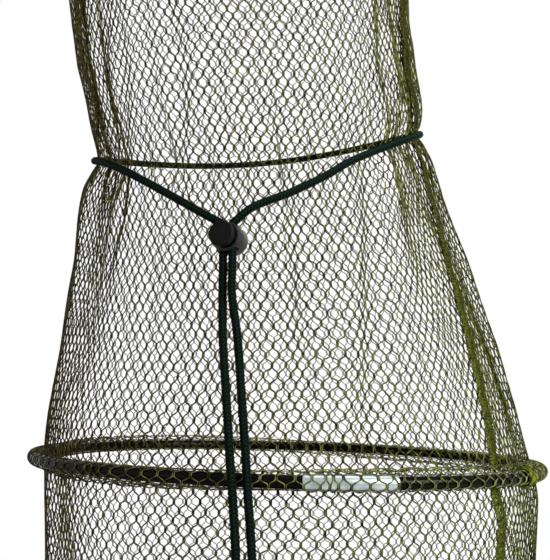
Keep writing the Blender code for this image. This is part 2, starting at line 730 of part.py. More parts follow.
def cord_at_lock(side, height):
    """Centre of one cord in the lock, at a height along its hole."""
    return LOCK_FRAME @ Vector((side * 0.5 * CORD_SPACING, 0.0, height))


def loop_points():
    """The drawstring from the lock round the neck and back to the lock."""
    turn = TIE_RIGHT_AZIMUTH - TIE_LEFT_AZIMUTH
    count = round(-turn / TIE_STEP)
    azimuths = [TIE_LEFT_AZIMUTH + turn * step / count for step in range(count + 1)]
    route = [cord_at_lock(-1.0, CORD_TOP + LOCK_LEAD)]
    route += [HOOP_1_CENTRE + Vector(point) for point in LEFT_V_ROUTE]
    route += [tie_point(azimuth) for azimuth in azimuths]
    route += [HOOP_1_CENTRE + Vector(point) for point in reversed(RIGHT_V_ROUTE)]
    route.append(cord_at_lock(1.0, CORD_TOP + LOCK_LEAD))
    inside = CORD_TOP - LOCK_LEAD
    curve = cord_points(route, cord_at_lock(-1.0, inside), cord_at_lock(1.0, inside))
    return [cord_at_lock(-1.0, CORD_TOP)] + curve + [cord_at_lock(1.0, CORD_TOP)]


def tail_points(side, route):
    """A tail from the top of the lock, straight through it, and down over the hoop."""
    bottom = -LOCK_RADIUS - LOCK_SLIDE
    points = [cord_at_lock(side, bottom)] + [HOOP_1_CENTRE + Vector(point) for point in route]
    curve = cord_points(points, cord_at_lock(side, 0.5 * bottom), points[-1] * 2.0 - points[-2])
    straight = [cord_at_lock(side, height) for height in (CORD_TOP - GAP, 0.0, 0.5 * bottom)]
    return straight + curve


def make_knot(bench, name, end, parent):
    """The knot at the end of a tail."""
    mesh = bpy.data.meshes.new(name)
    work = bmesh.new()
    stretch = Matrix.Diagonal((KNOT_RADIUS, KNOT_RADIUS, 0.5 * KNOT_LENGTH, 1.0))
    bmesh.ops.create_uvsphere(work, u_segments=KNOT_SEGMENTS, v_segments=KNOT_RINGS, radius=1.0,
                              matrix=stretch)
    work.to_mesh(mesh)
    work.free()
    mesh.shade_smooth()
    centre = end - Vector((0.0, 0.0, 0.5 * KNOT_LENGTH + GAP))
    return bench.piece(name, mesh, "cord", Matrix.Translation(centre), parent)


def make_neck_tie(bench):
    """The drawstring with its tails, and the shoulder of netting under it."""
    body = bench.body("neck_tie", axis_at(HOOP_1_CENTRE.z + WAIST_HEIGHT))
    loop = tube_curve("drawstring_loop", loop_points(), CORD_RADIUS, CORD_RESOLUTION)
    bench.piece("drawstring_loop", loop, "cord", parent=body)
    for name, side, route in TAILS:
        tail = tube_curve("drawstring_tail_" + name, tail_points(side, route), CORD_RADIUS, CORD_RESOLUTION)
        bench.piece("drawstring_tail_" + name, tail, "cord", parent=body)
    make_net(bench, "net_shoulder", SHOULDER, body)
    make_seam(bench, "seam_shoulder", SHOULDER, (SEAM_CORD_CLEARANCE, SEAM_HOOP_CLEARANCE), body)


def make_lock_body(bench, parent):
    """The lock's barrel: a cup with a bore for the button's stem and a slot through it for the cords."""
    floor = LOCK_FLOOR - LOCK_BACK
    outline = (
        (0.0, floor),
        (LOCK_BORE_RADIUS, floor),
        (LOCK_BORE_RADIUS, LOCK_FRONT),
        (LOCK_RADIUS - 0.5 * LOCK_ROUND, LOCK_FRONT),
        (LOCK_RADIUS, LOCK_FRONT - 0.5 * LOCK_ROUND),
        (LOCK_RADIUS, LOCK_ROUND - LOCK_BACK),
        (LOCK_RADIUS - LOCK_ROUND, -LOCK_BACK),
        (0.0, -LOCK_BACK),
    )
    profile = profile_mesh("cord_lock_body", outline, closed=False)
    piece = bench.piece("cord_lock_body", profile, "moulding", BARREL_FRAME, parent)
    turn_about_axis(piece, LOCK_STEPS)
    hole = CORD_RADIUS + CORD_HOLE_CLEARANCE
    half_width = 0.5 * CORD_SPACING + hole
    tall = LOCK_RADIUS + OVERRUN
    slot = box_mesh("cord_slot", Vector((-half_width, -hole, -tall)), Vector((half_width, hole, tall)))
    cut(piece, bench.cutter("cord_slot", slot, LOCK_FRAME))
    return piece


def make_plunger(bench, parent):
    """The button and its stem, whose slot leaves room for the cords when it is pressed in."""
    end = BUTTON_BASE + BUTTON_HEIGHT
    outline = (
        (0.0, end),
        (BUTTON_RADIUS - BUTTON_ROUND, end),
        (BUTTON_RADIUS, end - BUTTON_ROUND),
        (BUTTON_RADIUS, BUTTON_BASE),
        (STEM_RADIUS, BUTTON_BASE),
        (STEM_RADIUS, -STEM_BACK),
        (0.0, -STEM_BACK),
    )
    profile = profile_mesh("cord_lock_plunger", outline, closed=False)
    piece = bench.piece("cord_lock_plunger", profile, "moulding", BARREL_FRAME, parent)
    turn_about_axis(piece, LOCK_STEPS)
    hole = CORD_RADIUS + CORD_HOLE_CLEARANCE
    half_width = 0.5 * CORD_SPACING + hole
    tall = LOCK_RADIUS + OVERRUN
    slot = box_mesh("stem_slot", Vector((-half_width, -hole - BUTTON_TRAVEL, -tall)),
                    Vector((half_width, hole, tall)))
    cut(piece, bench.cutter("stem_slot", slot, LOCK_FRAME))
    return piece


def make_spring(bench, parent):
    """The spring between the barrel's floor and the stem."""
    low = LOCK_FLOOR - LOCK_BACK + SPRING_WIRE_RADIUS + GAP
    high = -STEM_BACK - SPRING_WIRE_RADIUS - GAP
    steps = SPRING_TURNS * SPRING_POINTS_PER_TURN
    points = []
    for step in range(steps + 1):
        angle = TURN * step / SPRING_POINTS_PER_TURN
        height = low + (high - low) * step / steps
        points.append((SPRING_RADIUS * math.cos(angle), SPRING_RADIUS * math.sin(angle), height))
    wire = tube_curve("cord_lock_spring", points, SPRING_WIRE_RADIUS, WIRE_RESOLUTION)
    return bench.piece("cord_lock_spring", wire, "steel", BARREL_FRAME, parent)


def make_cord_lock(bench):
    """The push-button lock that grips the two cords."""
    body = bench.body("cord_lock", LOCK_CENTRE)
    button = bench.body("lock_button", LOCK_CENTRE)
    button.parent = body
    button.matrix_parent_inverse = Matrix.Translation(LOCK_CENTRE).inverted()
    make_lock_body(bench, body)
    make_spring(bench, body)
    make_plunger(bench, button)


def make_hoops(bench):
    """The three wide hoops with the netting and seams that hang from them, and the knots below the first."""
    centres = (HOOP_1_CENTRE, HOOP_2_CENTRE, HOOP_3_CENTRE)
    tilts = (HOOP_1_TILT, 0.0, 0.0)
    bodies = []
    for number, (centre, tilt, azimuth) in enumerate(zip(centres, tilts, FERRULE_AZIMUTHS), start=1):
        name = "hoop_" + str(number)
        bodies.append(bench.body(name, centre))
        make_hoop(bench, name, hoop_frame(centre, tilt, azimuth), bodies[-1])
    make_net(bench, "net_upper", UPPER, bodies[0])
    make_net(bench, "net_lower", LOWER, bodies[1])
    make_base(bench, bodies[2])
    for name, side, route in TAILS:
        make_knot(bench, "tail_knot_" + name, tail_points(side, route)[-1], bodies[0])
    make_seam(bench, "seam_upper", UPPER, (SEAM_HOOP_CLEARANCE, SEAM_HOOP_CLEARANCE), bodies[0])
    make_seam(bench, "seam_lower", LOWER, (SEAM_HOOP_CLEARANCE, SEAM_HOOP_CLEARANCE + BASE_DROP), bodies[1])


def main():
    """Build the keep net."""
    clear_scene()
    bench = Bench()
    make_mouth(bench)
    make_neck_tie(bench)
    make_cord_lock(bench)
    make_hoops(bench)


main()
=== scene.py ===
"""Keep net: the looks of its netting, seams, hoops, drawstring and cord lock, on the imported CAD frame.

Metres, +Z up, the front is -Y. Heights in the tables of the netting are above the centre of hoop 1, the
first wide hoop, and azimuths run round the net from +X, in degrees in the tables.
"""
import logging
import math
from dataclasses import dataclass, field
from enum import Enum
from typing import Sequence, Union

import bpy
import numpy as np
from mathutils import Matrix, Vector


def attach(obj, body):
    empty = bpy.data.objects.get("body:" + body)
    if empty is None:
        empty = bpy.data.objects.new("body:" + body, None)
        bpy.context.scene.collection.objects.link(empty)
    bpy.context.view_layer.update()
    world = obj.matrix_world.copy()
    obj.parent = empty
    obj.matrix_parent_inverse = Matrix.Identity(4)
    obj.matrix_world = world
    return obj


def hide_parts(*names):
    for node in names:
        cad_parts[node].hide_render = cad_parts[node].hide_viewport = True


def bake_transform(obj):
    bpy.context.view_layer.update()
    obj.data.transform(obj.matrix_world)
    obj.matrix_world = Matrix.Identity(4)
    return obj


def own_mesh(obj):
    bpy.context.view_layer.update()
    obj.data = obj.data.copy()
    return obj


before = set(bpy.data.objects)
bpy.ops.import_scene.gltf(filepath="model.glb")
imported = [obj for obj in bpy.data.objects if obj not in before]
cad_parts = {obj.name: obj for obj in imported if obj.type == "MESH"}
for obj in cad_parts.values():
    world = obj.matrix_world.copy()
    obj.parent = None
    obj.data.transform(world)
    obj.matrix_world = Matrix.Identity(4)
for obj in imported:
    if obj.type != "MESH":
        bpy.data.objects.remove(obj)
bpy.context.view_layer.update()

LOG = logging.getLogger("keep_net")
TURN = 2.0 * math.pi
QUARTER = 0.5 * math.pi

Array = np.ndarray
Number = Union[float, Array]
Point = tuple[float, float, float]
Colour = tuple[float, float, float]
Table = tuple[tuple[float, ...], ...]
Socket = bpy.types.NodeSocket
Material = bpy.types.Material
Piece = bpy.types.Object

Inputs = dict[Union[str, int], object]

EVEN = (1.0, 1.0, 1.0)
TIP = 0.0001


class Body(Enum):
    """The bodies of the frame."""

    MOUTH = "mouth"
    NECK_TIE = "neck_tie"
    CORD_LOCK = "cord_lock"
    LOCK_BUTTON = "lock_button"
    HOOP_1 = "hoop_1"
    HOOP_2 = "hoop_2"
    HOOP_3 = "hoop_3"


class Slot(Enum):
    """The material slots of the record."""

    NETTING = "netting"
    SEAM = "seam"
    CORD = "cord"
    ROD = "rod"
    ALUMINIUM = "aluminium"
    MOULDING = "moulding"
    BRASS = "brass"
    STEEL = "steel"


@dataclass(frozen=True)
class Layout:
    """Places and sizes that the scene shares with the CAD source."""

    mouth: Point = (0.0, -0.154, 0.0173)
    hoop_1: Point = (0.03762, -0.154, -0.4127)
    hoop_2: Point = (0.03762, -0.154, -0.6727)
    hoop_3: Point = (0.03762, -0.154, -0.9327)
    mouth_radius: float = 0.1375
    hoop_radius: float = 0.1705
    hoop_1_tilt: float = math.radians(1.63)
    rod_radius: float = 0.00375
    ferrule_azimuths: Point = (-79.2, 112.0, -30.0)
    base_drop: float = 0.0049
    waist: float = 0.2153
    mouth_net_radius: float = 0.129
    net_radius: float = 0.1638
    base_net_radius: float = 0.1632


LAYOUT = Layout()


def wrapped(angle: Number) -> Number:
    """The same angle within half a turn of 0."""
    return (angle + math.pi) % TURN - math.pi


def lifted(place: Point, rise: float) -> Point:
    """A place moved straight up."""
    return place[0], place[1], place[2] + rise


# Materials
class Surface:
    """A procedural material under construction."""

    def __init__(self, name: str) -> None:
        """Start a material with one Principled shader.

        Args:
            name: the material's name.
        """
        self.material = bpy.data.materials.new(name)
        self.material.use_nodes = True
        self.tree = self.material.node_tree
        self.shader = self.tree.nodes["Principled BSDF"]
        self.place = self.tree.nodes.new("ShaderNodeTexCoord").outputs["Object"]

    def add(self, kind: str, inputs: Inputs) -> bpy.types.Node:
        """Add a node.

        Args:
            kind: its type, without the prefix that all of them share.
            inputs: by label, the value to set or the socket to link.

        Returns:
            The node.
        """
        node = self.tree.nodes.new("ShaderNode" + kind)
        for label, value in inputs.items():
            if isinstance(value, Socket):
                self.tree.links.new(value, node.inputs[label])
            else:
                node.inputs[label].default_value = value
        return node

    def stretched(self, scale: Point) -> Socket:
        """Object coordinates scaled by axis."""
        return self.add("Mapping", {"Scale": scale, "Vector": self.place}).outputs["Vector"]

    def noise(self, scale: float, detail: float = 3.0, stretch: Point = EVEN) -> Socket:
        """Noise in object space, by waves per metre, octaves and the factor of each axis."""
        inputs = {"Scale": scale, "Detail": detail, "Vector": self.stretched(stretch)}
        return self.add("TexNoise", inputs).outputs["Fac"]

    def bands(self, scale: float, direction: str) -> Socket:
        """Even bands across one axis.

        Args:
            scale: the wave texture's scale.
            direction: the axis, X, Y or Z.

        Returns:
            The bands' value.
        """
        node = self.add("TexWave", {"Scale": scale, "Vector": self.stretched(EVEN)})
        node.wave_type = "BANDS"
        node.bands_direction = direction
        return node.outputs["Fac"]

    def ramp(self, value: Socket, stops: Sequence[tuple[float, Colour]]) -> Socket:
        """A colour for each value.

        Args:
            value: the driving value.
            stops: places and colours.

        Returns:
            The colour socket.
        """
        node = self.add("ValToRGB", {"Fac": value})
        elements = node.color_ramp.elements
        while len(elements) < len(stops):
            elements.new(0.5)
        for element, (position, colour) in zip(elements, stops):
            element.position = position
            element.color = (*colour, 1.0)
        return node.outputs["Color"]

    def span(self, value: Socket, low: float, high: float, start: float = 0.3, stop: float = 0.7) -> Socket:
        """Map a value's range, its usual one or from start to stop, to the one from low to high."""
        inputs = {"From Min": start, "From Max": stop, "To Min": low, "To Max": high, "Value": value}
        return self.add("MapRange", inputs).outputs["Result"]

    def axis(self, index: int) -> Socket:
        """One coordinate of the surface point in object space: 0 to 2 for X, Y or Z."""
        return self.add("SeparateXYZ", {"Vector": self.place}).outputs[index]

    def facing(self) -> Socket:
        """How far the surface turns aside: 0 where it faces the view, 1 at its edges."""
        return self.add("LayerWeight", {"Blend": 0.5}).outputs["Facing"]

    def sum_of(self, value: Socket, other: Socket) -> Socket:
        """The sum of two values."""
        return self.add("Math", {0: value, 1: other}).outputs["Value"]

    def dulled(self, colour: Socket, grey: Socket) -> Socket:
        """Multiply a colour by another.

        Args:
            colour: the colour.
            grey: what dulls it.

        Returns:
            The product.
        """
        node = self.tree.nodes.new("ShaderNodeMix")
        node.data_type, node.blend_type = "RGBA", "MULTIPLY"
        sockets = {socket.identifier: socket for socket in node.inputs}
        sockets["Factor_Float"].default_value = 1.0
        self.tree.links.new(colour, sockets["A_Color"])
        self.tree.links.new(grey, sockets["B_Color"])
        return {socket.identifier: socket for socket in node.outputs}["Result_Color"]

    def bump(self, height: Socket, distance: float, strength: float) -> None:
        """Raise the surface by a value, over any bump already there.

        Args:
            height: the driving value.
            distance: metres at full height.
            strength: share of the effect.
        """
        node = self.add("Bump", {"Distance": distance, "Strength": strength, "Height": height})
        socket = self.shader.inputs["Normal"]
        if socket.is_linked:
            self.tree.links.new(socket.links[0].from_socket, node.inputs["Normal"])
        self.tree.links.new(node.outputs["Normal"], socket)

    def link(self, label: str, value: Socket) -> None:
        """Feed one input of the shader."""
        self.tree.links.new(value, self.shader.inputs[label])

    def set(self, label: str, value: object) -> None:
        """Set one input of the shader to a constant."""
        self.shader.inputs[label].default_value = value


@dataclass(frozen=True)
class TwineFinish:
    """Knitted polyethylene twine, light and dark by turns, with painted light: brown olive and darker at the
    left, greener and lighter at the right, and a painted highlight down each twine's middle with painted
    shade at its edges.
    """

    name: str
    left: Colour
    middle: Colour
    right: Colour
    roughness: float = 0.6
    side_start: float = -0.14
    side_stop: float = 0.20
    side_waves: float = 420.0
    side_swing: float = 0.16
    turns: float = 330.0
    dark: Colour = (0.26, 0.25, 0.34)
    light: Colour = (2.35, 2.30, 3.10)
    painted_highlight_tone: Colour = (1.45, 1.45, 1.35)
    painted_edge_shade_tone: Colour = (0.36, 0.35, 0.34)
    rough_waves: float = 900.0
    fibre_waves: float = 2600.0
    fibre_depth: float = 0.00012
    specular: float = 0.04

    def build(self) -> Material:
        """Make the material.

        Returns:
            The material.
        """
        surface = Surface(self.name)
        # Painted light: from the darker brown olive left to the lighter, greener right, where the light
        # falls.
        place = surface.span(surface.axis(0), 0.0, 1.0, self.side_start, self.side_stop)
        swing = surface.span(surface.noise(self.side_waves, 2.0), -self.side_swing, self.side_swing)
        painted_side_light_stops = ((0.1, self.left), (0.5, self.middle), (0.95, self.right))
        painted_side_light = surface.ramp(surface.sum_of(place, swing), painted_side_light_stops)
        tone = surface.ramp(surface.noise(self.turns, 2.0), ((0.38, self.dark), (0.62, self.light)))
        # Painted highlight and painted shade: lighter where the twine faces the view, darker towards its
        # edges.
        edge = surface.ramp(surface.facing(), ((0.08, self.painted_highlight_tone), (0.5, self.painted_edge_shade_tone)))
        surface.link("Base Color", surface.dulled(surface.dulled(painted_side_light, tone), edge))
        rough = surface.noise(self.rough_waves)
        surface.link("Roughness", surface.span(rough, self.roughness - 0.08, self.roughness + 0.12))
        surface.bump(surface.noise(self.fibre_waves, 2.0), self.fibre_depth, 0.8)
        surface.set("Specular IOR Level", self.specular)
        return surface.material


@dataclass(frozen=True)
class Grain:
    """Noise of a finish: waves per metre and octaves."""

    waves: float
    detail: float = 3.0

    def on(self, surface: Surface) -> Socket:
        """Its value on a surface."""
        return surface.noise(self.waves, self.detail)


@dataclass(frozen=True)
class MottledFinish:
    """Two mottled colours, a roughness that varies from low to high, and a fine relief."""

    name: str
    dark: Colour
    light: Colour
    specular: float
    mottle: Grain
    light_from: float
    rough: Grain
    low: float
    high: float
    relief: Grain
    depth: float
    strength: float

    def build(self) -> Material:
        """Make the material.

        Returns:
            The material.
        """
        surface = Surface(self.name)
        colour = surface.ramp(self.mottle.on(surface), ((0.35, self.dark), (self.light_from, self.light)))
        surface.link("Base Color", colour)
        surface.link("Roughness", surface.span(self.rough.on(surface), self.low, self.high))
        surface.bump(self.relief.on(surface), self.depth, self.strength)
        surface.set("Specular IOR Level", self.specular)
        return surface.material


@dataclass(frozen=True)
class BraidFinish(MottledFinish):
    """Braided polyester cord: fine filaments with a dull sheen."""

    specular: float = 0.03
    mottle: Grain = Grain(1500.0, 4.0)
    light_from: float = 0.7
    rough: Grain = Grain(700.0)
    low: float = 0.52
    high: float = 0.72
    relief: Grain = Grain(5200.0, 2.0)
    depth: float = 0.00008
    strength: float = 0.7


@dataclass(frozen=True)
class RodFinish(MottledFinish):
    """Glossy black rod with a faint warm cast, a painted reflection, and handling marks."""

    name: str = "rod_gloss"
    dark: Colour = (0.0008, 0.0008, 0.0006)
    light: Colour = (0.0020, 0.0016, 0.0012)
    specular: float = 0.05
    mottle: Grain = Grain(26.0)
    light_from: float = 0.75
    rough: Grain = Grain(240.0, 5.0)
    low: float = 0.10
    high: float = 0.22
    relief: Grain = Grain(380.0, 4.0)
    depth: float = 0.00006
    strength: float = 0.35


@dataclass(frozen=True)
class MouldingFinish(MottledFinish):
    """Black nylon moulding with a fine spark grain and rubbed patches, lighter than the button's copy:
    painted light on the barrel's lit side.
    """

    name: str = "moulding_black"
    dark: Colour = (0.007, 0.007, 0.0076)
    light: Colour = (0.020, 0.020, 0.0212)
    specular: float = 0.2
    mottle: Grain = Grain(300.0, 4.0)
    light_from: float = 0.75
    rough: Grain = Grain(150.0)
    low: float = 0.36
    high: float = 0.5
    relief: Grain = Grain(3200.0, 2.0)
    depth: float = 0.00006
    strength: float = 0.5


@dataclass(frozen=True)
class MetalFinish:
    """Bare metal, drawn or turned, with fine lines, dull patches and a thread where it has one."""

    name: str
    base: Colour
    worn: Colour
    low: float
    high: float
    grain: Point = EVEN
    thread: float = 0.0
    thread_depth: float = 0.0006
    patch_waves: float = 160.0
    rough_waves: float = 500.0
    line_waves: float = 1400.0
    line_depth: float = 0.00004

    def build(self) -> Material:
        """Make the material.

        Returns:
            The material.
        """
        surface = Surface(self.name)
        patches = surface.noise(self.patch_waves, 4.0)
        surface.link("Base Color", surface.ramp(patches, ((0.35, self.worn), (0.65, self.base))))
        surface.set("Metallic", 1.0)
        rough = surface.noise(self.rough_waves, 4.0, self.grain)
        surface.link("Roughness", surface.span(rough, self.low, self.high))
        surface.bump(surface.noise(self.line_waves, 3.0, self.grain), self.line_depth, 0.4)
        if self.thread:
            surface.bump(surface.bands(self.thread, "Z"), self.thread_depth, 0.9)
        return surface.material


@dataclass(frozen=True)
class FloorFinish:
    """Plain pale floor with a hardly visible unevenness."""

    name: str = "floor_pale"
    low: Colour = (0.86, 0.86, 0.86)
    high: Colour = (0.9, 0.9, 0.9)
    waves: float = 3.0

    def build(self) -> Material:
        """Make the material.

        Returns:
            The material.
        """
        surface = Surface(self.name)
        patches = surface.noise(self.waves)
        surface.link("Base Color", surface.ramp(patches, ((0.3, self.low), (0.7, self.high))))
        surface.set("Roughness", 0.9)
        surface.set("Specular IOR Level", 0.1)
        return surface.material


class Palette:
    """The finishes of the scene, made once."""

    def __init__(self) -> None:
        """Make every finish."""
        # The twines' left, middle and right colours carry painted light: darker at the left, lighter and
        # greener at the right.
        self.netting = TwineFinish(
            "netting_twine", (0.038, 0.033, 0.006), (0.056, 0.059, 0.011), (0.066, 0.078, 0.012)).build()
        self.sleeve = TwineFinish(
            "sleeve_twine", (0.078, 0.072, 0.024), (0.108, 0.112, 0.032), (0.120, 0.142, 0.034),
            dark=(0.42, 0.42, 0.48), light=(1.9, 1.9, 2.2)).build()
        self.seam = TwineFinish(
            "seam_twine", (0.050, 0.048, 0.010), (0.070, 0.078, 0.013), (0.100, 0.124, 0.016), roughness=0.65,
            side_start=0.10, side_stop=0.155, turns=620.0, dark=(0.28, 0.30, 0.35),
            light=(1.80, 1.75, 1.60)).build()
        # A darker copy of the seam twine for the band twines under the loops: painted shade.
        self.seam_painted_shade = TwineFinish(
            "seam_twine_painted_shade", (0.026, 0.028, 0.005), (0.030, 0.035, 0.006), (0.036, 0.045, 0.008),
            roughness=0.7, turns=620.0, dark=(0.25, 0.27, 0.30), light=(1.5, 1.5, 1.3)).build()
        self.cord_black = BraidFinish(
            "cord_black", (0.0015, 0.0022, 0.0018), (0.0032, 0.0048, 0.0040)).build()
        self.cord_green = BraidFinish(
            "cord_green", (0.0024, 0.0078, 0.0052), (0.0062, 0.0215, 0.0140)).build()
        self.rod = RodFinish().build()
        # Darker and more teal than bare aluminium: a painted reflection, for the darker teal-grey bands above
        # and below the ferrule's bright middle.
        self.aluminium = MetalFinish(
            "aluminium_drawn", (0.50, 0.55, 0.54), (0.30, 0.37, 0.37), 0.22, 0.38,
            grain=(1.0, 6.0, 6.0)).build()
        self.moulding = MouldingFinish().build()
        # The button's moulding is a darker copy of the barrel's: painted shade on the button face, painted
        # light on the barrel's side.
        self.button = MouldingFinish(
            "moulding_button_painted_shade", (0.002, 0.002, 0.0022), (0.005, 0.005, 0.0055), specular=0.07).build()
        self.brass = MetalFinish(
            "brass_turned", (0.66, 0.47, 0.18), (0.48, 0.33, 0.12), 0.2, 0.38, grain=(1.0, 1.0, 7.0),
            thread=160.0).build()
        self.steel = MetalFinish("steel_plated", (0.46, 0.46, 0.47), (0.30, 0.30, 0.31), 0.25, 0.45).build()
        self.floor = FloorFinish().build()


# Meshes
def unit(vectors: Array) -> Array:
    """Vectors at length 1."""
    return vectors / np.maximum(np.linalg.norm(vectors, axis=-1, keepdims=True), 1e-12)


def across_of(points: Array, outward: Array) -> tuple[Array, Array]:
    """Sideways and outward directions along lines.

    Args:
        points: the points, with the ones along a line in the last axis but one.
        outward: a direction that points away from the surface, at each point.

    Returns:
        The direction across each line, and the one outward, square to the line.
    """
    along = unit(np.gradient(points, axis=-2))
    across = unit(np.cross(outward, along))
    return across, np.cross(along, across)


def carried_frames(points: Array) -> tuple[Array, Array]:
    """Directions carried along a cord without twist.

    Args:
        points: the cord's points.

    Returns:
        Two directions square to the cord at each point.
    """
    along = unit(np.gradient(points, axis=0))
    side = np.empty_like(points)
    guide = np.array((1.0, 0.0, 0.0)) if abs(along[0][0]) < 0.8 else np.array((0.0, 1.0, 0.0))
    for index, direction in enumerate(along):
        guide = guide - direction * guide.dot(direction)
        guide /= np.linalg.norm(guide)
        side[index] = guide
    return side, np.cross(along, side)


def smooth_line(points: Sequence[Vector], before: Vector, after: Vector, spacing: float) -> Array:
    """Close, even points on a smooth curve through the given ones.

    Args:
        points: the route.
        before: steers the start.
        after: steers the end.
        spacing: distance between the points that come back.

    Returns:
        The points.
    """
    guides = [before, *points, after]
    fine = []
    for first, start, stop, last in zip(guides, guides[1:], guides[2:], guides[3:]):
        for step in range(24):
            t = step / 24.0
            fine.append(0.5 * ((2.0 * start) + (stop - first) * t
                               + (2.0 * first - 5.0 * start + 4.0 * stop - last) * t ** 2
                               + (3.0 * start - first - 3.0 * stop + last) * t ** 3))
    fine.append(points[-1])
    return even_line(np.array([tuple(point) for point in fine]), spacing)


def even_line(points: Array, spacing: float) -> Array:
    """The same line with even points.

    Args:
        points: the line.
        spacing: distance between the points that come back.

    Returns:
        The points.
    """
    run = np.concatenate(((0.0,), np.cumsum(np.linalg.norm(np.diff(points, axis=0), axis=1))))
    stations = np.linspace(0.0, run[-1], max(2, round(run[-1] / spacing) + 1))
    return np.stack([np.interp(stations, run, points[:, axis]) for axis in range(3)], axis=1)


def placed(name: str, data: bpy.types.ID) -> Piece:
    """Put a new object in the scene.

    Args:
        name: its name.
        data: its mesh, lamp or camera data.

    Returns:
        The object.
    """
    thing = bpy.data.objects.new(name, data)
    bpy.context.scene.collection.objects.link(thing)
    return thing


class MeshStore:
    """Collects tubes and turned shapes, as rings of points, into one mesh."""

    def __init__(self) -> None:
        """Start empty."""
        self.points: list[Array] = []
        self.faces: list[Array] = []
        self.finishes: list[Array] = []
        self.count = 0

    def add_rings(self, rings: Array, closed: bool = False, finish: int = 0) -> None:
        """Join rings of points by faces.

        Args:
            rings: points by ring and by place on the ring, turning to the left about the way they follow.
            closed: whether the last ring joins the first.
            finish: the material's place.
        """
        count, sides = rings.shape[:2]
        lower = np.arange(count if closed else count - 1)[:, None] * sides
        upper = np.roll(np.arange(count), -1)[: len(lower), None] * sides
        here = np.arange(sides)[None, :]
        beside = (here + 1) % sides
        faces = np.stack((lower + here, lower + beside, upper + beside, upper + here), axis=-1).reshape(-1, 4)
        self.points.append(rings.reshape(-1, 3))
        self.faces.append(faces + self.count)
        self.finishes.append(np.full(len(faces), finish))
        self.count += count * sides

    def add_tube(self, centres: Array, across: Array, outward: Array, radius: Number, sides: int,
                 flat: float = 1.0, closed: bool = False, finish: int = 0) -> None:
        """Add a tube along a line, drawn to a point at its ends unless it is closed.

        Args:
            centres: the line's points.
            across: sideways directions.
            outward: outward directions.
            radius: half the width, also by point.
            sides: sides of the tube.
            flat: thickness as a share of the width.
            closed: whether the line closes on itself.
            finish: the material's place.
        """
        angles = TURN * np.arange(sides) / sides
        width = np.broadcast_to(np.asarray(radius, dtype=float), (len(centres),)).copy()
        if not closed:
            width[[0, -1]] *= 0.02
        offsets = (np.cos(angles)[None, :, None] * across[:, None, :]
                   + flat * np.sin(angles)[None, :, None] * outward[:, None, :])
        self.add_rings(centres[:, None, :] + width[:, None, None] * offsets, closed, finish)

    def build(self, name: str, materials: Sequence[Material]) -> Piece:
        """Make the object.

        Args:
            name: its name.
            materials: its materials, by place.

        Returns:
            The object, in the scene.
        """
        points = np.concatenate(self.points)
        faces = np.concatenate(self.faces)
        mesh = bpy.data.meshes.new(name)
        mesh.vertices.add(len(points))
        mesh.vertices.foreach_set("co", points.astype(np.float32).ravel())
        mesh.loops.add(faces.size)
        mesh.loops.foreach_set("vertex_index", faces.astype(np.int32).ravel())
        mesh.polygons.add(len(faces))
        mesh.polygons.foreach_set("loop_start", np.arange(0, faces.size, 4, dtype=np.int32))
        for material in materials:
            mesh.materials.append(material)
        mesh.polygons.foreach_set("material_index", np.concatenate(self.finishes).astype(np.int32))
        mesh.update(calc_edges=True)
        mesh.shade_smooth()
        return placed(name, mesh)


@dataclass(frozen=True)
class Ride:
    """A piece that moves with one body."""

    body: Body

    def hold(self, piece: Piece) -> None:
        """Fix the piece to its body."""
        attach(piece, self.body.value)


@dataclass(frozen=True)
class Bend:
    """A piece that lies between two bodies, from one point to another."""

    upper: Body
    lower: Body
    start: Point
    end: Point

    def hold(self, piece: Piece) -> None:
        """Bake the piece's place into its mesh; nothing bends it."""
        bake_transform(piece)


Hold = Union[Ride, Bend]


def publish(piece: Piece, hold: Hold, slot: Slot, *nodes: str) -> Piece:
    """Fix a piece to its body, hide the CAD nodes it stands for, and report it.

    Args:
        piece: the object.
        hold: what it moves with.
        slot: its material slot; not used.
        nodes: the CAD nodes that it replaces.

    Returns:
        The same object.
    """
    hold.hold(piece)
    if nodes:
        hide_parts(*nodes)
    LOG.info("%s: %d faces", piece.name, len(piece.data.polygons))
    return piece


# Where the soft pieces lie between bodies
WAIST_NORMAL = (-0.083, -0.235, 1.0)
HOOP_MARGIN = 0.012


def by_waist(rise: float) -> Point:
    """A place beside the drawstring's plane, on the net's axis.

    Args:
        rise: metres from the plane, square to it.

    Returns:
        The place.
    """
    waist = Vector(lifted(LAYOUT.hoop_1, LAYOUT.waist))
    return tuple(waist + Vector(WAIST_NORMAL).normalized() * rise)


def between_hoops(upper: Body, lower: Body, top: Point, bottom: Point) -> Bend:
    """The hold of what lies from just under one hoop to just over the next."""
    return Bend(upper, lower, lifted(top, -HOOP_MARGIN), lifted(bottom, HOOP_MARGIN))


NECK_HOLD = Bend(Body.MOUTH, Body.NECK_TIE, by_waist(0.169), by_waist(0.010))
SHOULDER_HOLD = Bend(Body.NECK_TIE, Body.HOOP_1, by_waist(-0.010), by_waist(-0.162))
TAIL_HOLD = Bend(Body.NECK_TIE, Body.HOOP_1, lifted(LAYOUT.hoop_1, 0.098), lifted(LAYOUT.hoop_1, 0.012))
UPPER_HOLD = between_hoops(Body.HOOP_1, Body.HOOP_2, LAYOUT.hoop_1, LAYOUT.hoop_2)
LOWER_HOLD = between_hoops(Body.HOOP_2, Body.HOOP_3, LAYOUT.hoop_2, LAYOUT.hoop_3)


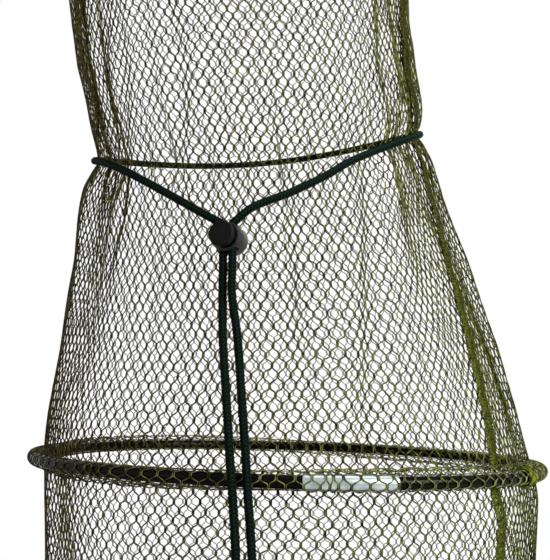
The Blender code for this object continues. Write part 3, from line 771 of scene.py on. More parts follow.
# Netting
@dataclass(frozen=True)
class Fold:
    """A pleat that runs down the netting, where its columns draw together, or part where it is negative."""

    route: Table
    width: float = 4.5
    depth: float = -0.004

    def pull(self, angle: Array, height: Array) -> tuple[Array, Array]:
        """How far the pleat draws the netting.

        Args:
            angle: the netting's own angle.
            height: above hoop 1.

        Returns:
            The change of angle and of radius.
        """
        heights, azimuths, strengths = (np.array(column) for column in zip(*sorted(self.route)))
        centre = np.radians(np.interp(height, heights, azimuths))
        strength = np.interp(height, heights, strengths)
        offset = wrapped(angle - centre)
        bell = strength * np.exp(-0.5 * (offset / math.radians(self.width)) ** 2)
        return -bell * offset, bell * self.depth


LOOSE_AT_LEFT = (
    Fold(((0.43, -165.0, -1.4), (0.296, -169.5, -1.6), (0.260, -172.5, -1.6), (0.221, -172.3, -1.6),
          (0.2, -167.0, -1.5), (0.176, -162.0, -1.4), (0.120, -161.0, -1.1), (0.04, -164.0, -0.3),
          (0.0, -166.0, 0.0)), 8.5, -0.0006),
    Fold(((0.27, -186.0, 0.0), (0.22, -185.0, -1.2), (0.176, -180.0, -1.3), (0.12, -179.5, -1.2),
          (0.04, -182.0, -0.4), (0.0, -184.0, 0.0)), 8.5, -0.0006),
)
PLEATS_AT_FRONT = (
    Fold(((0.40, -132.0, 0.5), (0.282, -136.4, 0.85), (0.245, -142.2, 0.8), (0.227, -142.7, 0.8),
          (0.203, -140.9, 0.55), (0.15, -146.0, 0.0)), 3.8),
    Fold(((0.40, -126.0, 0.3), (0.267, -130.0, 0.55), (0.227, -133.5, 0.6), (0.2, -134.8, 0.6),
          (0.177, -133.8, 0.7), (0.156, -133.9, 0.65), (0.133, -137.8, 0.5), (0.06, -139.0, 0.0)), 3.4),
    Fold(((0.40, -108.0, 0.2), (0.248, -110.4, 0.4), (0.196, -112.8, 0.5), (0.161, -111.1, 0.4),
          (0.123, -110.2, 0.3), (0.05, -108.0, 0.0)), 3.0),
    Fold(((0.22, -80.0, 0.0), (0.16, -81.2, 0.35), (0.081, -85.8, 0.35), (0.03, -87.0, 0.0)), 2.8),
    Fold(((0.24, -50.0, 0.0), (0.1975, -53.4, 0.5), (0.13, -64.9, 0.55), (0.070, -71.7, 0.55),
          (0.0425, -73.6, 0.4), (0.01, -75.0, 0.0)), 3.2),
    Fold(((0.40, -37.0, 0.6), (0.2935, -41.1, 0.85), (0.258, -45.0, 0.85), (0.22, -43.0, 0.6),
          (0.169, -43.6, 0.75), (0.143, -47.3, 0.6), (0.06, -52.0, 0.0)), 4.6),
    Fold(((0.40, -28.0, 0.5), (0.28, -31.0, 0.65), (0.235, -33.0, 0.5), (0.17, -37.0, 0.5),
          (0.134, -42.1, 0.5), (0.05, -46.0, 0.0)), 4.0),
)
LOOSE_BELOW_AT_LEFT = (
    Fold(((0.03, -160.0, 0.0), (-0.02, -160.0, -0.9), (-0.22, -160.0, -0.8), (-0.34, -160.0, 0.0)), 8.0, 0.0),
    Fold(((0.03, -177.0, 0.0), (-0.02, -177.0, -0.9), (-0.22, -177.0, -0.8), (-0.34, -177.0, 0.0)), 8.0, 0.0),
)
LOOSE_AT_RIGHT = (
    Fold(((0.43, -12.5, -1.5), (0.23, -12.0, -1.6), (0.20, -12.0, -0.6), (0.18, -12.0, 0.0)), 7.0, -0.0006),
    Fold(((0.22, -13.0, 0.0), (0.20, -13.0, -1.2), (0.15, -14.0, -1.6), (0.06, -16.0, -1.5),
          (0.0, -17.0, -0.9), (-0.12, -17.0, -0.6), (-0.22, -17.0, 0.0)), 9.0, -0.0006),
)
PLEATS_AT_BACK = (
    Fold(((0.40, 42.0, 0.1), (0.25, 38.0, 0.35), (0.17, 41.0, 0.3), (0.05, 43.0, 0.0)), 4.0, 0.002),
    Fold(((0.40, 84.0, 0.1), (0.25, 80.0, 0.3), (0.16, 82.0, 0.25), (0.04, 84.0, 0.0)), 4.0, -0.002),
    Fold(((0.40, 128.0, 0.2), (0.25, 126.0, 0.45), (0.15, 130.0, 0.35), (0.04, 132.0, 0.0)), 4.2, 0.002),
    Fold(((0.40, 158.0, 0.3), (0.25, 156.0, 0.6), (0.15, 160.0, 0.4), (0.04, 163.0, 0.0)), 4.2),
)
FOLDS = LOOSE_AT_LEFT + PLEATS_AT_FRONT + LOOSE_BELOW_AT_LEFT + LOOSE_AT_RIGHT + PLEATS_AT_BACK


class Wander:
    """Gentle unevenness, the same in every run."""

    def __init__(self, seed: int, size: float, around: int, down: float, waves: int = 9) -> None:
        """Choose the waves.

        Args:
            seed: of the random choice.
            size: usual height of the unevenness.
            around: most waves round the net.
            down: most waves per metre.
            waves: how many are added.
        """
        chance = np.random.default_rng(seed)
        self.size = size * math.sqrt(2.0 / waves)
        self.around = chance.integers(1, around + 1, waves)
        self.down = chance.uniform(-down, down, waves) * TURN
        self.phase = chance.uniform(0.0, TURN, waves)

    def at(self, angle: Array, height: Array) -> Array:
        """The unevenness at places.

        Args:
            angle: round the net.
            height: down the net.

        Returns:
            The unevenness.
        """
        total = np.zeros_like(angle + height)
        for around, down, phase in zip(self.around, self.down, self.phase):
            total += np.sin(around * angle + down * height + phase)
        return self.size * total


class Profile:
    """A smooth curve through a table."""

    def __init__(self, table: Table, width: float, steps: int = 400) -> None:
        """Smooth the table.

        Args:
            table: places and values.
            width: share of the range that is smoothed over.
            steps: how finely the curve is kept.
        """
        places, values = (np.array(column) for column in zip(*sorted(table)))
        self.places = np.linspace(places[0], places[-1], steps + 1)
        fine = np.interp(self.places, places, values)
        reach = max(1, round(0.5 * width * steps))
        before = 2.0 * fine[0] - fine[reach:0:-1]
        after = 2.0 * fine[-1] - fine[-2:-reach - 2:-1]
        window = 2 * reach + 1
        padded = np.concatenate((before, fine, after))
        self.values = np.convolve(padded, np.full(window, 1.0 / window), "valid")

    def at(self, place: Number) -> Number:
        """The curve's value."""
        return np.interp(place, self.places, self.values)


@dataclass
class NetShape:
    """Where the netting hangs: a leaning tube, drawn in at the drawstring, with pleats.

    The tables give, by height above hoop 1, the axis's place and the columns' spread, and by share of the way
    down each stretch, its radius.
    """

    layout: Layout
    mouth_drop: float = 0.004
    drift_table: Table = (
        (-0.52, 0.0), (-0.12, 0.0015), (-0.05, 0.0021), (-0.02, 0.0018), (0.0, -0.0003), (0.016, -0.0031),
        (0.0355, -0.0038), (0.0746, -0.0055), (0.114, -0.0108), (0.134, -0.0127), (0.154, -0.0161),
        (0.170, -0.0184), (0.1846, -0.0197), (0.204, -0.0202), (0.2226, -0.0200), (0.2385, -0.0217),
        (0.249, -0.0231), (0.265, -0.0263), (0.285, -0.0300), (0.30, -0.0321), (0.33, -0.0339),
        (0.43, -0.0376))
    spread_table: Table = (
        (-0.53, 0.0), (-0.2, 0.025), (-0.06, 0.045), (0.0, 0.015), (0.045, 0.010), (0.15, 0.025),
        (0.185, 0.06), (0.23, 0.135), (0.43, 0.14))
    neck_table: Table = (
        (0.0, 0.129), (0.468, 0.1222), (0.6, 0.1206), (0.689, 0.1208), (0.76, 0.1192), (0.865, 0.1180),
        (0.94, 0.1162), (0.983, 0.1137), (1.0, 0.1128))
    shoulder_table: Table = (
        (0.0, 0.1128), (0.02, 0.1150), (0.079, 0.1208), (0.167, 0.1257), (0.305, 0.1322), (0.485, 0.1416),
        (0.663, 0.1509), (0.84, 0.1592), (0.928, 0.1623), (1.0, 0.1638))
    upper_table: Table = (
        (0.0, 0.1638), (0.08, 0.1664), (0.23, 0.1634), (0.5, 0.1605), (0.8, 0.162), (1.0, 0.1638))
    lower_table: Table = ((0.0, 0.1638), (0.08, 0.1652), (0.5, 0.160), (0.9, 0.1625), (1.0, 0.1632))
    back_rise: float = 0.027
    right_rise: float = 0.0095
    saddle_rise: float = 0.0062
    dip: float = 0.0036
    dip_azimuth: float = math.radians(-58.0)
    dip_width: float = math.radians(14.0)
    v_azimuth: float = math.radians(-98.0)
    v_free: float = math.radians(28.0)
    v_blend: float = math.radians(26.0)
    v_bulge: float = 0.004
    v_reach: float = 0.010
    lean_above: float = 0.75
    lean_below: float = 0.45
    ruffles: int = 23
    ruffle_turn: float = 0.55
    ruffle_height: float = 0.0014
    ruffle_reach: float = 0.026
    ruffle_calm: float = 0.006
    ruffle_drift: Table = ((2.1, 3.0, 0.7), (1.3, 5.0, 0.0))
    calm: float = 0.02
    waist_share: float = 0.15
    sway_near: float = 1.2
    sway_fade: float = 0.9
    sway_least: float = 0.3

    def __post_init__(self) -> None:
        """Smooth the tables and choose the unevenness."""
        self.top = self.layout.mouth[2] - self.layout.hoop_1[2] - self.mouth_drop
        self.spacing = self.layout.hoop_1[2] - self.layout.hoop_2[2]
        self.drift = Profile(self.drift_table, 0.015)
        self.spread = Profile(self.spread_table, 0.03)
        self.neck = Profile(self.neck_table, 0.03)
        self.shoulder = Profile(self.shoulder_table, 0.03)
        self.upper = Profile(self.upper_table, 0.05)
        self.lower = Profile(self.lower_table, 0.05)
        self.sideways = Wander(3, 0.0024, 13, 8.0)
        self.sag = Wander(5, 0.0007, 14, 8.0)
        self.swell = Wander(7, 0.0009, 9, 7.0)

    def waist(self, azimuth: Number) -> Number:
        """Height of the drawstring round the neck.

        Args:
            azimuth: radians.

        Returns:
            The height above hoop 1.
        """
        away = wrapped(np.asarray(azimuth) - self.dip_azimuth)
        rise = (self.layout.waist + self.back_rise * np.sin(azimuth) + self.right_rise * np.cos(azimuth)
                + self.saddle_rise * np.cos(2.0 * azimuth))
        return rise - self.dip * np.exp(-(away / self.dip_width) ** 2)

    def tied(self, azimuth: Array) -> Array:
        """How tightly the cord draws the netting in: 1 where it lies round the neck, 0 over its V."""
        return np.clip((np.abs(wrapped(azimuth - self.v_azimuth)) - self.v_free) / self.v_blend, 0.0, 1.0)

    def radius(self, azimuth: Array, height: Array) -> Array:
        """Radius of the netting without its pleats.

        Args:
            azimuth: radians.
            height: above hoop 1.

        Returns:
            The radius.
        """
        waist = self.waist(azimuth)
        above = np.where(height > waist, self.neck.at((self.top - height) / (self.top - waist)),
                         self.shoulder.at((waist - height) / waist))
        below = np.where(height > -self.spacing, self.upper.at(-height / self.spacing),
                         self.lower.at((-height - self.spacing) / self.spacing))
        near = np.exp(-((height - waist) / self.v_reach) ** 2)
        return np.where(height > 0.0, above, below) + (1.0 - self.tied(azimuth)) * self.v_bulge * near

    def ruffle(self, angle: Array, height: Array) -> tuple[Array, Array]:
        """The small gathers at the drawstring.

        Args:
            angle: the netting's own angle.
            height: above hoop 1.

        Returns:
            The change of angle and of radius.
        """
        far = np.abs(height - self.waist(angle))
        size = self.tied(angle) * np.exp(-(far / self.ruffle_reach) ** 2)
        phase = self.ruffles * angle
        for drift, waves, start in self.ruffle_drift:
            phase = phase + drift * np.sin(waves * angle + start)
        lift = np.clip(far / self.ruffle_calm, 0.0, 1.0)
        return (-self.ruffle_turn / self.ruffles * size * np.sin(phase),
                self.ruffle_height * size * lift * np.cos(phase))

    def turned(self, angle: Array, height: Number) -> Array:
        """Azimuth of a column before its pleats: it leans round the net, and the neck's front is drawn wide.

        Args:
            angle: the netting's own angle.
            height: above hoop 1.

        Returns:
            The azimuth.
        """
        lean = np.where(np.asarray(height) > 0.0, self.lean_above, self.lean_below) * height
        return angle + lean - self.spread.at(height) * np.sin(2.0 * (angle + lean))

    def place(self, angle: Array, height: Array, shift: Number = 0.0) -> tuple[Array, Array]:
        """Points of the netting.

        Args:
            angle: the netting's own angle.
            height: above hoop 1.
            shift: metres sideways along the netting.

        Returns:
            The points, and the outward direction at each.
        """
        start = self.turned(angle, height)
        sway = np.clip(self.sway_near - np.abs(height) / self.sway_fade, self.sway_least, 1.0)
        azimuth = start + self.sideways.at(angle, height) * sway
        lift = np.zeros_like(azimuth)
        near_waist = np.clip(np.abs(height - self.waist(start)) / self.calm, self.waist_share, 1.0)
        for fold in FOLDS:
            turn, rise = fold.pull(start, height)
            azimuth = azimuth + turn
            lift = lift + rise * near_waist
        turn, rise = self.ruffle(start, height)
        azimuth = azimuth + turn
        calm = np.clip(np.minimum(np.abs(height), np.abs(height - self.waist(azimuth))) / self.calm, 0.0, 1.0)
        radius = self.radius(azimuth, height) + lift + rise + calm * self.swell.at(angle, height)
        level = height + calm * self.sag.at(angle, height)
        return self.at_azimuth(azimuth + shift / radius, level, radius)

    def at_azimuth(self, azimuth: Array, height: Array, radius: Number) -> tuple[Array, Array]:
        """Points at true azimuths.

        Args:
            azimuth: radians.
            height: above hoop 1.
            radius: from the net's axis.

        Returns:
            The points, and the outward direction at each.
        """
        flat = np.zeros_like(azimuth + height)
        out = np.stack(np.broadcast_arrays(np.cos(azimuth), np.sin(azimuth), flat), axis=-1)
        x, y, z = self.layout.hoop_1
        centre = np.stack(np.broadcast_arrays(x + self.drift.at(height), y + flat, z + height), axis=-1)
        return centre + out * np.asarray(radius)[..., None], out


@dataclass
class Mesh:
    """The knotless mesh: strands that run down in zigzags and lie side by side where they meet."""

    columns: int = 136
    row: float = 0.00569
    low_row: float = 0.00540
    twine: float = 0.00037
    back_thinner: float = 0.14
    side_gap: float = 0.00041
    stations: tuple[float, ...] = (0.0, 0.28, 0.43, 0.57, 0.72)
    ease: tuple[float, ...] = (0.0, 0.0, 0.3, 0.7, 1.0)
    slack_across: float = 0.00022
    slack_down: float = 0.045
    slack_limit: float = 1.8
    slack_seed: int = 17
    sides: int = 4

    def levels(self, top: float, bottom: float) -> Array:
        """Heights of the half rows, which stand closer below hoop 1.

        Args:
            top: above hoop 1.
            bottom: above hoop 1.

        Returns:
            The heights, from the top down.
        """
        high = np.arange(top, 0.0, -self.row)
        share = high[-1] / self.row
        start = high[-1] - self.row * min(1.0, share) - self.low_row * (1.0 - share)
        return np.concatenate((high, np.arange(start, bottom - 0.5 * self.low_row, -self.low_row)))

    def lay(self, rows: int) -> tuple[Array, Array, Array]:
        """The strands in the netting's own plane.

        Args:
            rows: half rows of meshes.

        Returns:
            For each strand and station: the half column, the half row, and the metres sideways at the joints.
        """
        strands = np.arange(2 * self.columns)[:, None]
        joints = strands + (strands + np.arange(rows + 1)[None, :]) % 2
        shares, ease = np.array(self.stations), np.array(self.ease)
        slack = np.random.default_rng(self.slack_seed).normal(0.0, 1.0, (2, rows + 1, 2 * self.columns))
        slack = slack.clip(-self.slack_limit, self.slack_limit)
        aside, lower = slack[:, np.arange(rows + 1)[None, :], joints % (2 * self.columns)]
        aside, lower = self.slack_across * aside, self.slack_down * lower
        start, step = joints[:, :-1, None], np.diff(joints, axis=1)[:, :, None]
        half = (start + step * ease).reshape(len(strands), -1)
        shift = step * self.side_gap * (1.0 - 2.0 * ease)
        shift = shift + aside[:, :-1, None] + np.diff(aside)[:, :, None] * ease
        row = np.arange(rows)[:, None] + shares + lower[:, :-1, None] + np.diff(lower)[:, :, None] * ease
        last = joints[:, -1:]
        half = np.concatenate((half, last), axis=1)
        end = self.side_gap * (joints[:, -2:-1] - last) + aside[:, -1:]
        shift = np.concatenate((shift.reshape(len(strands), -1), end), axis=1)
        row = np.concatenate((row.reshape(len(strands), -1), rows + lower[:, -1:]), axis=1)
        return half, row, shift


@dataclass
class Netting:
    """The whole net tube and the flat net at its base."""

    layout: Layout
    shape: NetShape
    mesh: Mesh
    start_angle: float = 0.012
    bottom_drop: float = 0.004
    wedges: int = 3
    base_radius: float = 0.1634
    base_pitch: float = 0.0080
    base_across: float = 20.0
    base_along: float = 24.0

    def __post_init__(self) -> None:
        """Lay the strands of the tube."""
        bottom = self.layout.hoop_3[2] - self.layout.hoop_1[2] - self.bottom_drop
        self.levels = self.mesh.levels(self.shape.top, bottom)
        self.rows = len(self.levels) - 1
        self.strands = 2 * self.mesh.columns
        half, row, shift = self.mesh.lay(self.rows)
        angles = TURN * half / self.strands + self.start_angle
        heights = np.interp(row, np.arange(self.rows + 1), self.levels)
        self.points, outward = self.shape.place(angles, heights, shift)
        self.across, self.outward = across_of(self.points, outward)
        self.widths = self.mesh.twine * (1.0 - self.mesh.back_thinner * np.sin(angles))

    def row_at(self, height: Number) -> Number:
        """The nearest half row to a height above hoop 1."""
        return np.rint(np.interp(-np.asarray(height), -self.levels, np.arange(self.rows + 1))).astype(int)

    def build_stretch(self, node: str, tops: Array, bottoms: Array, hold: Hold, material: Material) -> None:
        """Make a stretch of netting in wedges.

        Args:
            node: the CAD node that it replaces.
            tops: first half row of each strand.
            bottoms: last half row of each strand.
            hold: what it moves with.
            material: its finish.
        """
        steps = len(self.mesh.stations)
        for wedge in range(self.wedges):
            store = MeshStore()
            first, last = (self.strands * edge // self.wedges for edge in (wedge, wedge + 1))
            for strand in range(first, last):
                span = slice(tops[strand] * steps, bottoms[strand] * steps + 1)
                store.add_tube(self.points[strand, span], self.across[strand, span],
                               self.outward[strand, span], self.widths[strand, span], self.mesh.sides)
            publish(store.build(f"{node}_mesh_{wedge + 1}", [material]), hold, Slot.NETTING, node)

    def build_base(self, material: Material) -> None:
        """Make the flat net that closes the base.

        Args:
            material: the netting's finish.
        """
        mesh = self.mesh
        rows = math.ceil(2.0 * self.base_radius / mesh.row)
        half, row, shift = mesh.lay(rows)
        x = 0.5 * self.base_pitch * (half - 0.5 * half.max()) + shift
        y = mesh.row * (row - 0.5 * rows)
        wander = Wander(11, 0.0006, 5, 4.0)
        x, y = x + wander.at(y * self.base_across, x), y + wander.at(x * self.base_along, y)
        centre = lifted(self.layout.hoop_3, -self.layout.base_drop)
        points = np.stack((centre[0] + x, centre[1] + y, np.full_like(x, centre[2])), axis=-1)
        across, outward = across_of(points, np.broadcast_to(np.array((0.0, 0.0, -1.0)), points.shape))
        store = MeshStore()
        for strand in range(len(points)):
            inside = np.flatnonzero(np.hypot(x[strand], y[strand]) < self.base_radius)
            if len(inside) > 2:
                span = slice(inside[0], inside[-1] + 1)
                store.add_tube(points[strand, span], across[strand, span], outward[strand, span], mesh.twine,
                               mesh.sides)
        publish(store.build("net_base_mesh", [material]), Ride(Body.HOOP_3), Slot.NETTING, "net_base")

    def build(self, palette: Palette) -> None:
        """Make every stretch.

        Args:
            palette: the finishes.
        """
        middles = TURN * (np.arange(self.strands) + 0.5) / self.strands + self.start_angle
        waist = self.row_at(self.shape.waist(self.shape.turned(middles, self.layout.waist)))
        top, hoop_1, hoop_2, bottom = (np.full(self.strands, row) for row in (
            0, self.row_at(0.0), self.row_at(self.layout.hoop_2[2] - self.layout.hoop_1[2]), self.rows))
        for node, first, last, hold in (("net_neck", top, waist, NECK_HOLD),
                                        ("net_shoulder", waist, hoop_1, SHOULDER_HOLD),
                                        ("net_upper", hoop_1, hoop_2, UPPER_HOLD),
                                        ("net_lower", hoop_2, bottom, LOWER_HOLD)):
            self.build_stretch(node, first, last, hold, palette.netting)
        self.build_base(palette.netting)


# Hoops
@dataclass
class Hoop:
    """A hoop: its rod, ferrule and the net sleeve that it lies in.

    The sleeve wraps the rod, is rolled round it and bunched at one place, and its two hems are gathered on
    the net.
    """

    name: str
    body: Body
    centre: Point
    radius: float
    net_radius: float
    azimuth: float
    tilt: float = 0.0
    has_ferrule: bool = True
    window: float = 0.0
    rod_radius: float = LAYOUT.rod_radius
    end_gap: float = 0.0006
    steps: int = 288
    ferrule_radius: float = 0.0046
    ferrule_wall: float = 0.0005
    ferrule_length: float = 0.052
    ferrule_edge: float = 0.0003
    ferrule_steps: int = 40
    mesh: Mesh = field(default_factory=Mesh)
    sleeve_rows: int = 5
    seed: int = 21
    sleeve_node: str = ""
    rod_slack: float = 0.0007
    ferrule_slack: float = 0.0005
    ferrule_ease: float = 0.004
    wrap: float = math.radians(105.0)
    roll_phase: float = 1.75
    roll_turn: float = 0.32
    roll_lift: float = 0.0022
    bunch_azimuth: float = math.radians(166.0)
    bunch_width: float = math.radians(32.0)
    bunch_pull: float = 0.76
    gather_size: float = 0.010
    gather_waves: int = 40
    gather_width: float = 0.004
    hem_share: float = 0.16
    hem_slack: float = 0.0012
    hem_height: float = 0.0050
    hem_steps: int = 720
    hem_strands: int = 3
    hem_waves: float = 61.0
    hem_bunch: float = 0.0003
    hem_loose: float = 0.0006
    hem_twine: float = 0.00022
    hem_fuller: float = 0.00026

    def at(self, azimuth: Array, radius: Number, height: Number) -> Array:
        """Points of the hoop's own space in the world.

        Args:
            azimuth: radians.
            radius: from the hoop's centre.
            height: above the hoop's plane.

        Returns:
            The points.
        """
        x, y, z = np.broadcast_arrays(radius * np.cos(azimuth), radius * np.sin(azimuth),
                                      np.asarray(height) + 0.0 * azimuth)
        cos, sin = math.cos(self.tilt), math.sin(self.tilt)
        return np.stack((self.centre[0] + cos * x + sin * z, self.centre[1] + y,
                         self.centre[2] - sin * x + cos * z), axis=-1)

    def rings(self, azimuth: Array, radii: Array, sides: int) -> Array:
        """Rings of points round the rod's line.

        Args:
            azimuth: where each ring stands.
            radii: its radius.
            sides: points on a ring.

        Returns:
            The rings.
        """
        angles = TURN * np.arange(sides) / sides
        return self.at(azimuth[:, None], self.radius + radii[:, None] * np.cos(angles),
                       radii[:, None] * np.sin(angles))[:, ::-1]

    def build_rod(self, material: Material) -> None:
        """Make the rod, with its two ends in the ferrule or block.

        Args:
            material: its finish.
        """
        half_gap = self.end_gap / self.radius
        azimuth = math.radians(self.azimuth) + np.linspace(half_gap, TURN - half_gap, self.steps)
        azimuth = np.concatenate((azimuth[:1], azimuth, azimuth[-1:]))
        radii = np.concatenate(((TIP,), np.full(self.steps, self.rod_radius), (TIP,)))
        store = MeshStore()
        store.add_rings(self.rings(azimuth, radii, 20))
        publish(store.build(f"{self.name}_rod_gloss", [material]), Ride(self.body), Slot.ROD,
                f"{self.name}_rod")

    def build_ferrule(self, material: Material) -> None:
        """Make the ferrule, a drawn tube with softened ends.

        Args:
            material: its finish.
        """
        half, outer, edge = 0.5 * self.ferrule_length, self.ferrule_radius, self.ferrule_edge
        soft, inner = 0.3 * edge, outer - self.ferrule_wall
        run = np.linspace(-half + edge, half - edge, self.ferrule_steps)
        places = np.concatenate(((-half, -half + soft), run, (half - soft, half), run[::-1]))
        radii = np.concatenate(((outer - edge, outer - soft), np.full(self.ferrule_steps, outer),
                                (outer - soft, outer - edge), np.full(self.ferrule_steps, inner)))
        store = MeshStore()
        store.add_rings(self.rings(math.radians(self.azimuth) + places / self.radius, radii, 32), closed=True)
        publish(store.build(f"{self.name}_ferrule_tube", [material]), Ride(self.body), Slot.ALUMINIUM,
                f"{self.name}_ferrule")

    def roll(self, azimuth: Array) -> Array:
        """How far the sleeve is rolled round the rod: up at the right front, down at the left front."""
        return np.cos(2.0 * azimuth + self.roll_phase)

    def sleeve_point(self, angle: Array, along: Array, shift: Number = 0.0) -> tuple[Array, Array]:
        """Points of the sleeve.

        Args:
            angle: the sleeve's own angle round the hoop.
            along: share of the way from its upper hem over the outside to its lower hem.
            shift: metres sideways.

        Returns:
            The points, and the direction away from the rod.
        """
        gather = Wander(self.seed, self.gather_size, self.gather_waves, 0.1)
        away = wrapped(angle - self.bunch_azimuth)
        bunched = -self.bunch_pull * away * np.exp(-0.5 * (away / self.bunch_width) ** 2)
        gathered = gather.at(angle, self.gather_waves * along * self.gather_width)
        azimuth = angle + bunched + gathered + 0.02 * np.sin(7.0 * angle)
        hold = self.rod_radius + self.rod_slack
        if self.has_ferrule:
            away = np.abs(wrapped(azimuth - math.radians(self.azimuth))) * self.radius
            over = np.clip(1.0 - (away - 0.5 * self.ferrule_length) / self.ferrule_ease, 0.0, 1.0)
            hold = hold + over * (self.ferrule_radius + self.ferrule_slack - hold)
        roll = self.roll(azimuth)
        share = np.clip((along - self.hem_share) / (1.0 - 2.0 * self.hem_share), 0.0, 1.0)
        turn = self.wrap * (1.0 - 2.0 * share) + self.roll_turn * roll
        radial, height = hold * np.cos(turn), hold * np.sin(turn)
        upper = np.clip(1.0 - along / self.hem_share, 0.0, 1.0)
        lower = np.clip(1.0 - (1.0 - along) / self.hem_share, 0.0, 1.0)
        hem = self.net_radius + self.hem_slack - self.radius
        lift = self.roll_lift * roll
        radial = radial + (hem - radial) * (upper + lower)
        height = (height + (self.hem_height + lift - height) * upper
                  + (-self.hem_height + lift - height) * lower)
        points = self.at(azimuth + shift / self.radius, self.radius + radial, height)
        return points, unit(points - self.at(azimuth, self.radius, 0.0 * height))

    def build_sleeve(self, material: Material) -> None:
        """Make the net sleeve and its two gathered hems.

        Args:
            material: its finish.
        """
        half, row, shift = self.mesh.lay(self.sleeve_rows)
        angle = TURN * half / (2 * self.mesh.columns)
        points, away = self.sleeve_point(angle, row / self.sleeve_rows, shift)
        across, away = across_of(points, away)
        store = MeshStore()
        for strand in range(len(points)):
            if abs(wrapped(angle[strand].mean() - math.radians(self.azimuth))) > self.window:
                store.add_tube(points[strand], across[strand], away[strand], self.mesh.twine, self.mesh.sides)
        self.add_hems(store)
        node = self.sleeve_node or f"{self.name}_sleeve"
        publish(store.build(f"{node}_mesh", [material]), Ride(self.body), Slot.NETTING, node)

    def add_hems(self, store: MeshStore) -> None:
        """Add the twines that gather the sleeve's two edges.

        Args:
            store: the sleeve's mesh.
        """
        closed = self.window == 0.0
        start = math.radians(self.azimuth) + self.window
        angle = start + np.linspace(0.0, TURN - 2.0 * self.window, self.hem_steps, endpoint=not closed)
        out = np.stack((np.cos(angle), np.sin(angle), 0.0 * angle), axis=-1)
        for along, side in ((0.0, 1.0), (1.0, -1.0)):
            line, away = self.sleeve_point(angle, np.full_like(angle, along))
            shown = np.clip(side * self.roll(angle) * 1.6, 0.0, 1.0)
            bunch = self.hem_bunch + self.hem_loose * shown
            width = self.hem_twine + self.hem_fuller * shown
            for strand in range(self.hem_strands):
                swing = 1.2 * np.sin(9.0 * angle + strand)
                phase = self.hem_waves * angle + TURN * strand / self.hem_strands + swing
                centres = line.copy()
                centres[:, 2] += bunch * np.sin(phase)
                centres += out * (0.6 * bunch * np.cos(phase))[:, None]
                across, outward = across_of(centres, away)
                store.add_tube(centres, across, outward, width, self.mesh.sides, closed=closed)

    def build(self, palette: Palette) -> None:
        """Make the hoop's pieces.

        Args:
            palette: the finishes.
        """
        self.build_rod(palette.rod)
        if self.has_ferrule:
            self.build_ferrule(palette.aluminium)
        self.build_sleeve(palette.sleeve)


# Seams
@dataclass(frozen=True)
class Ripple:
    """A wave along a line: its size and length, and its turn from one twine to the next."""

    size: float
    length: float
    turn: float

    def at(self, run: Array, twine: int) -> Array:
        """The wave along the run of one twine."""
        return self.size * np.sin(TURN * run / self.length + self.turn * twine)


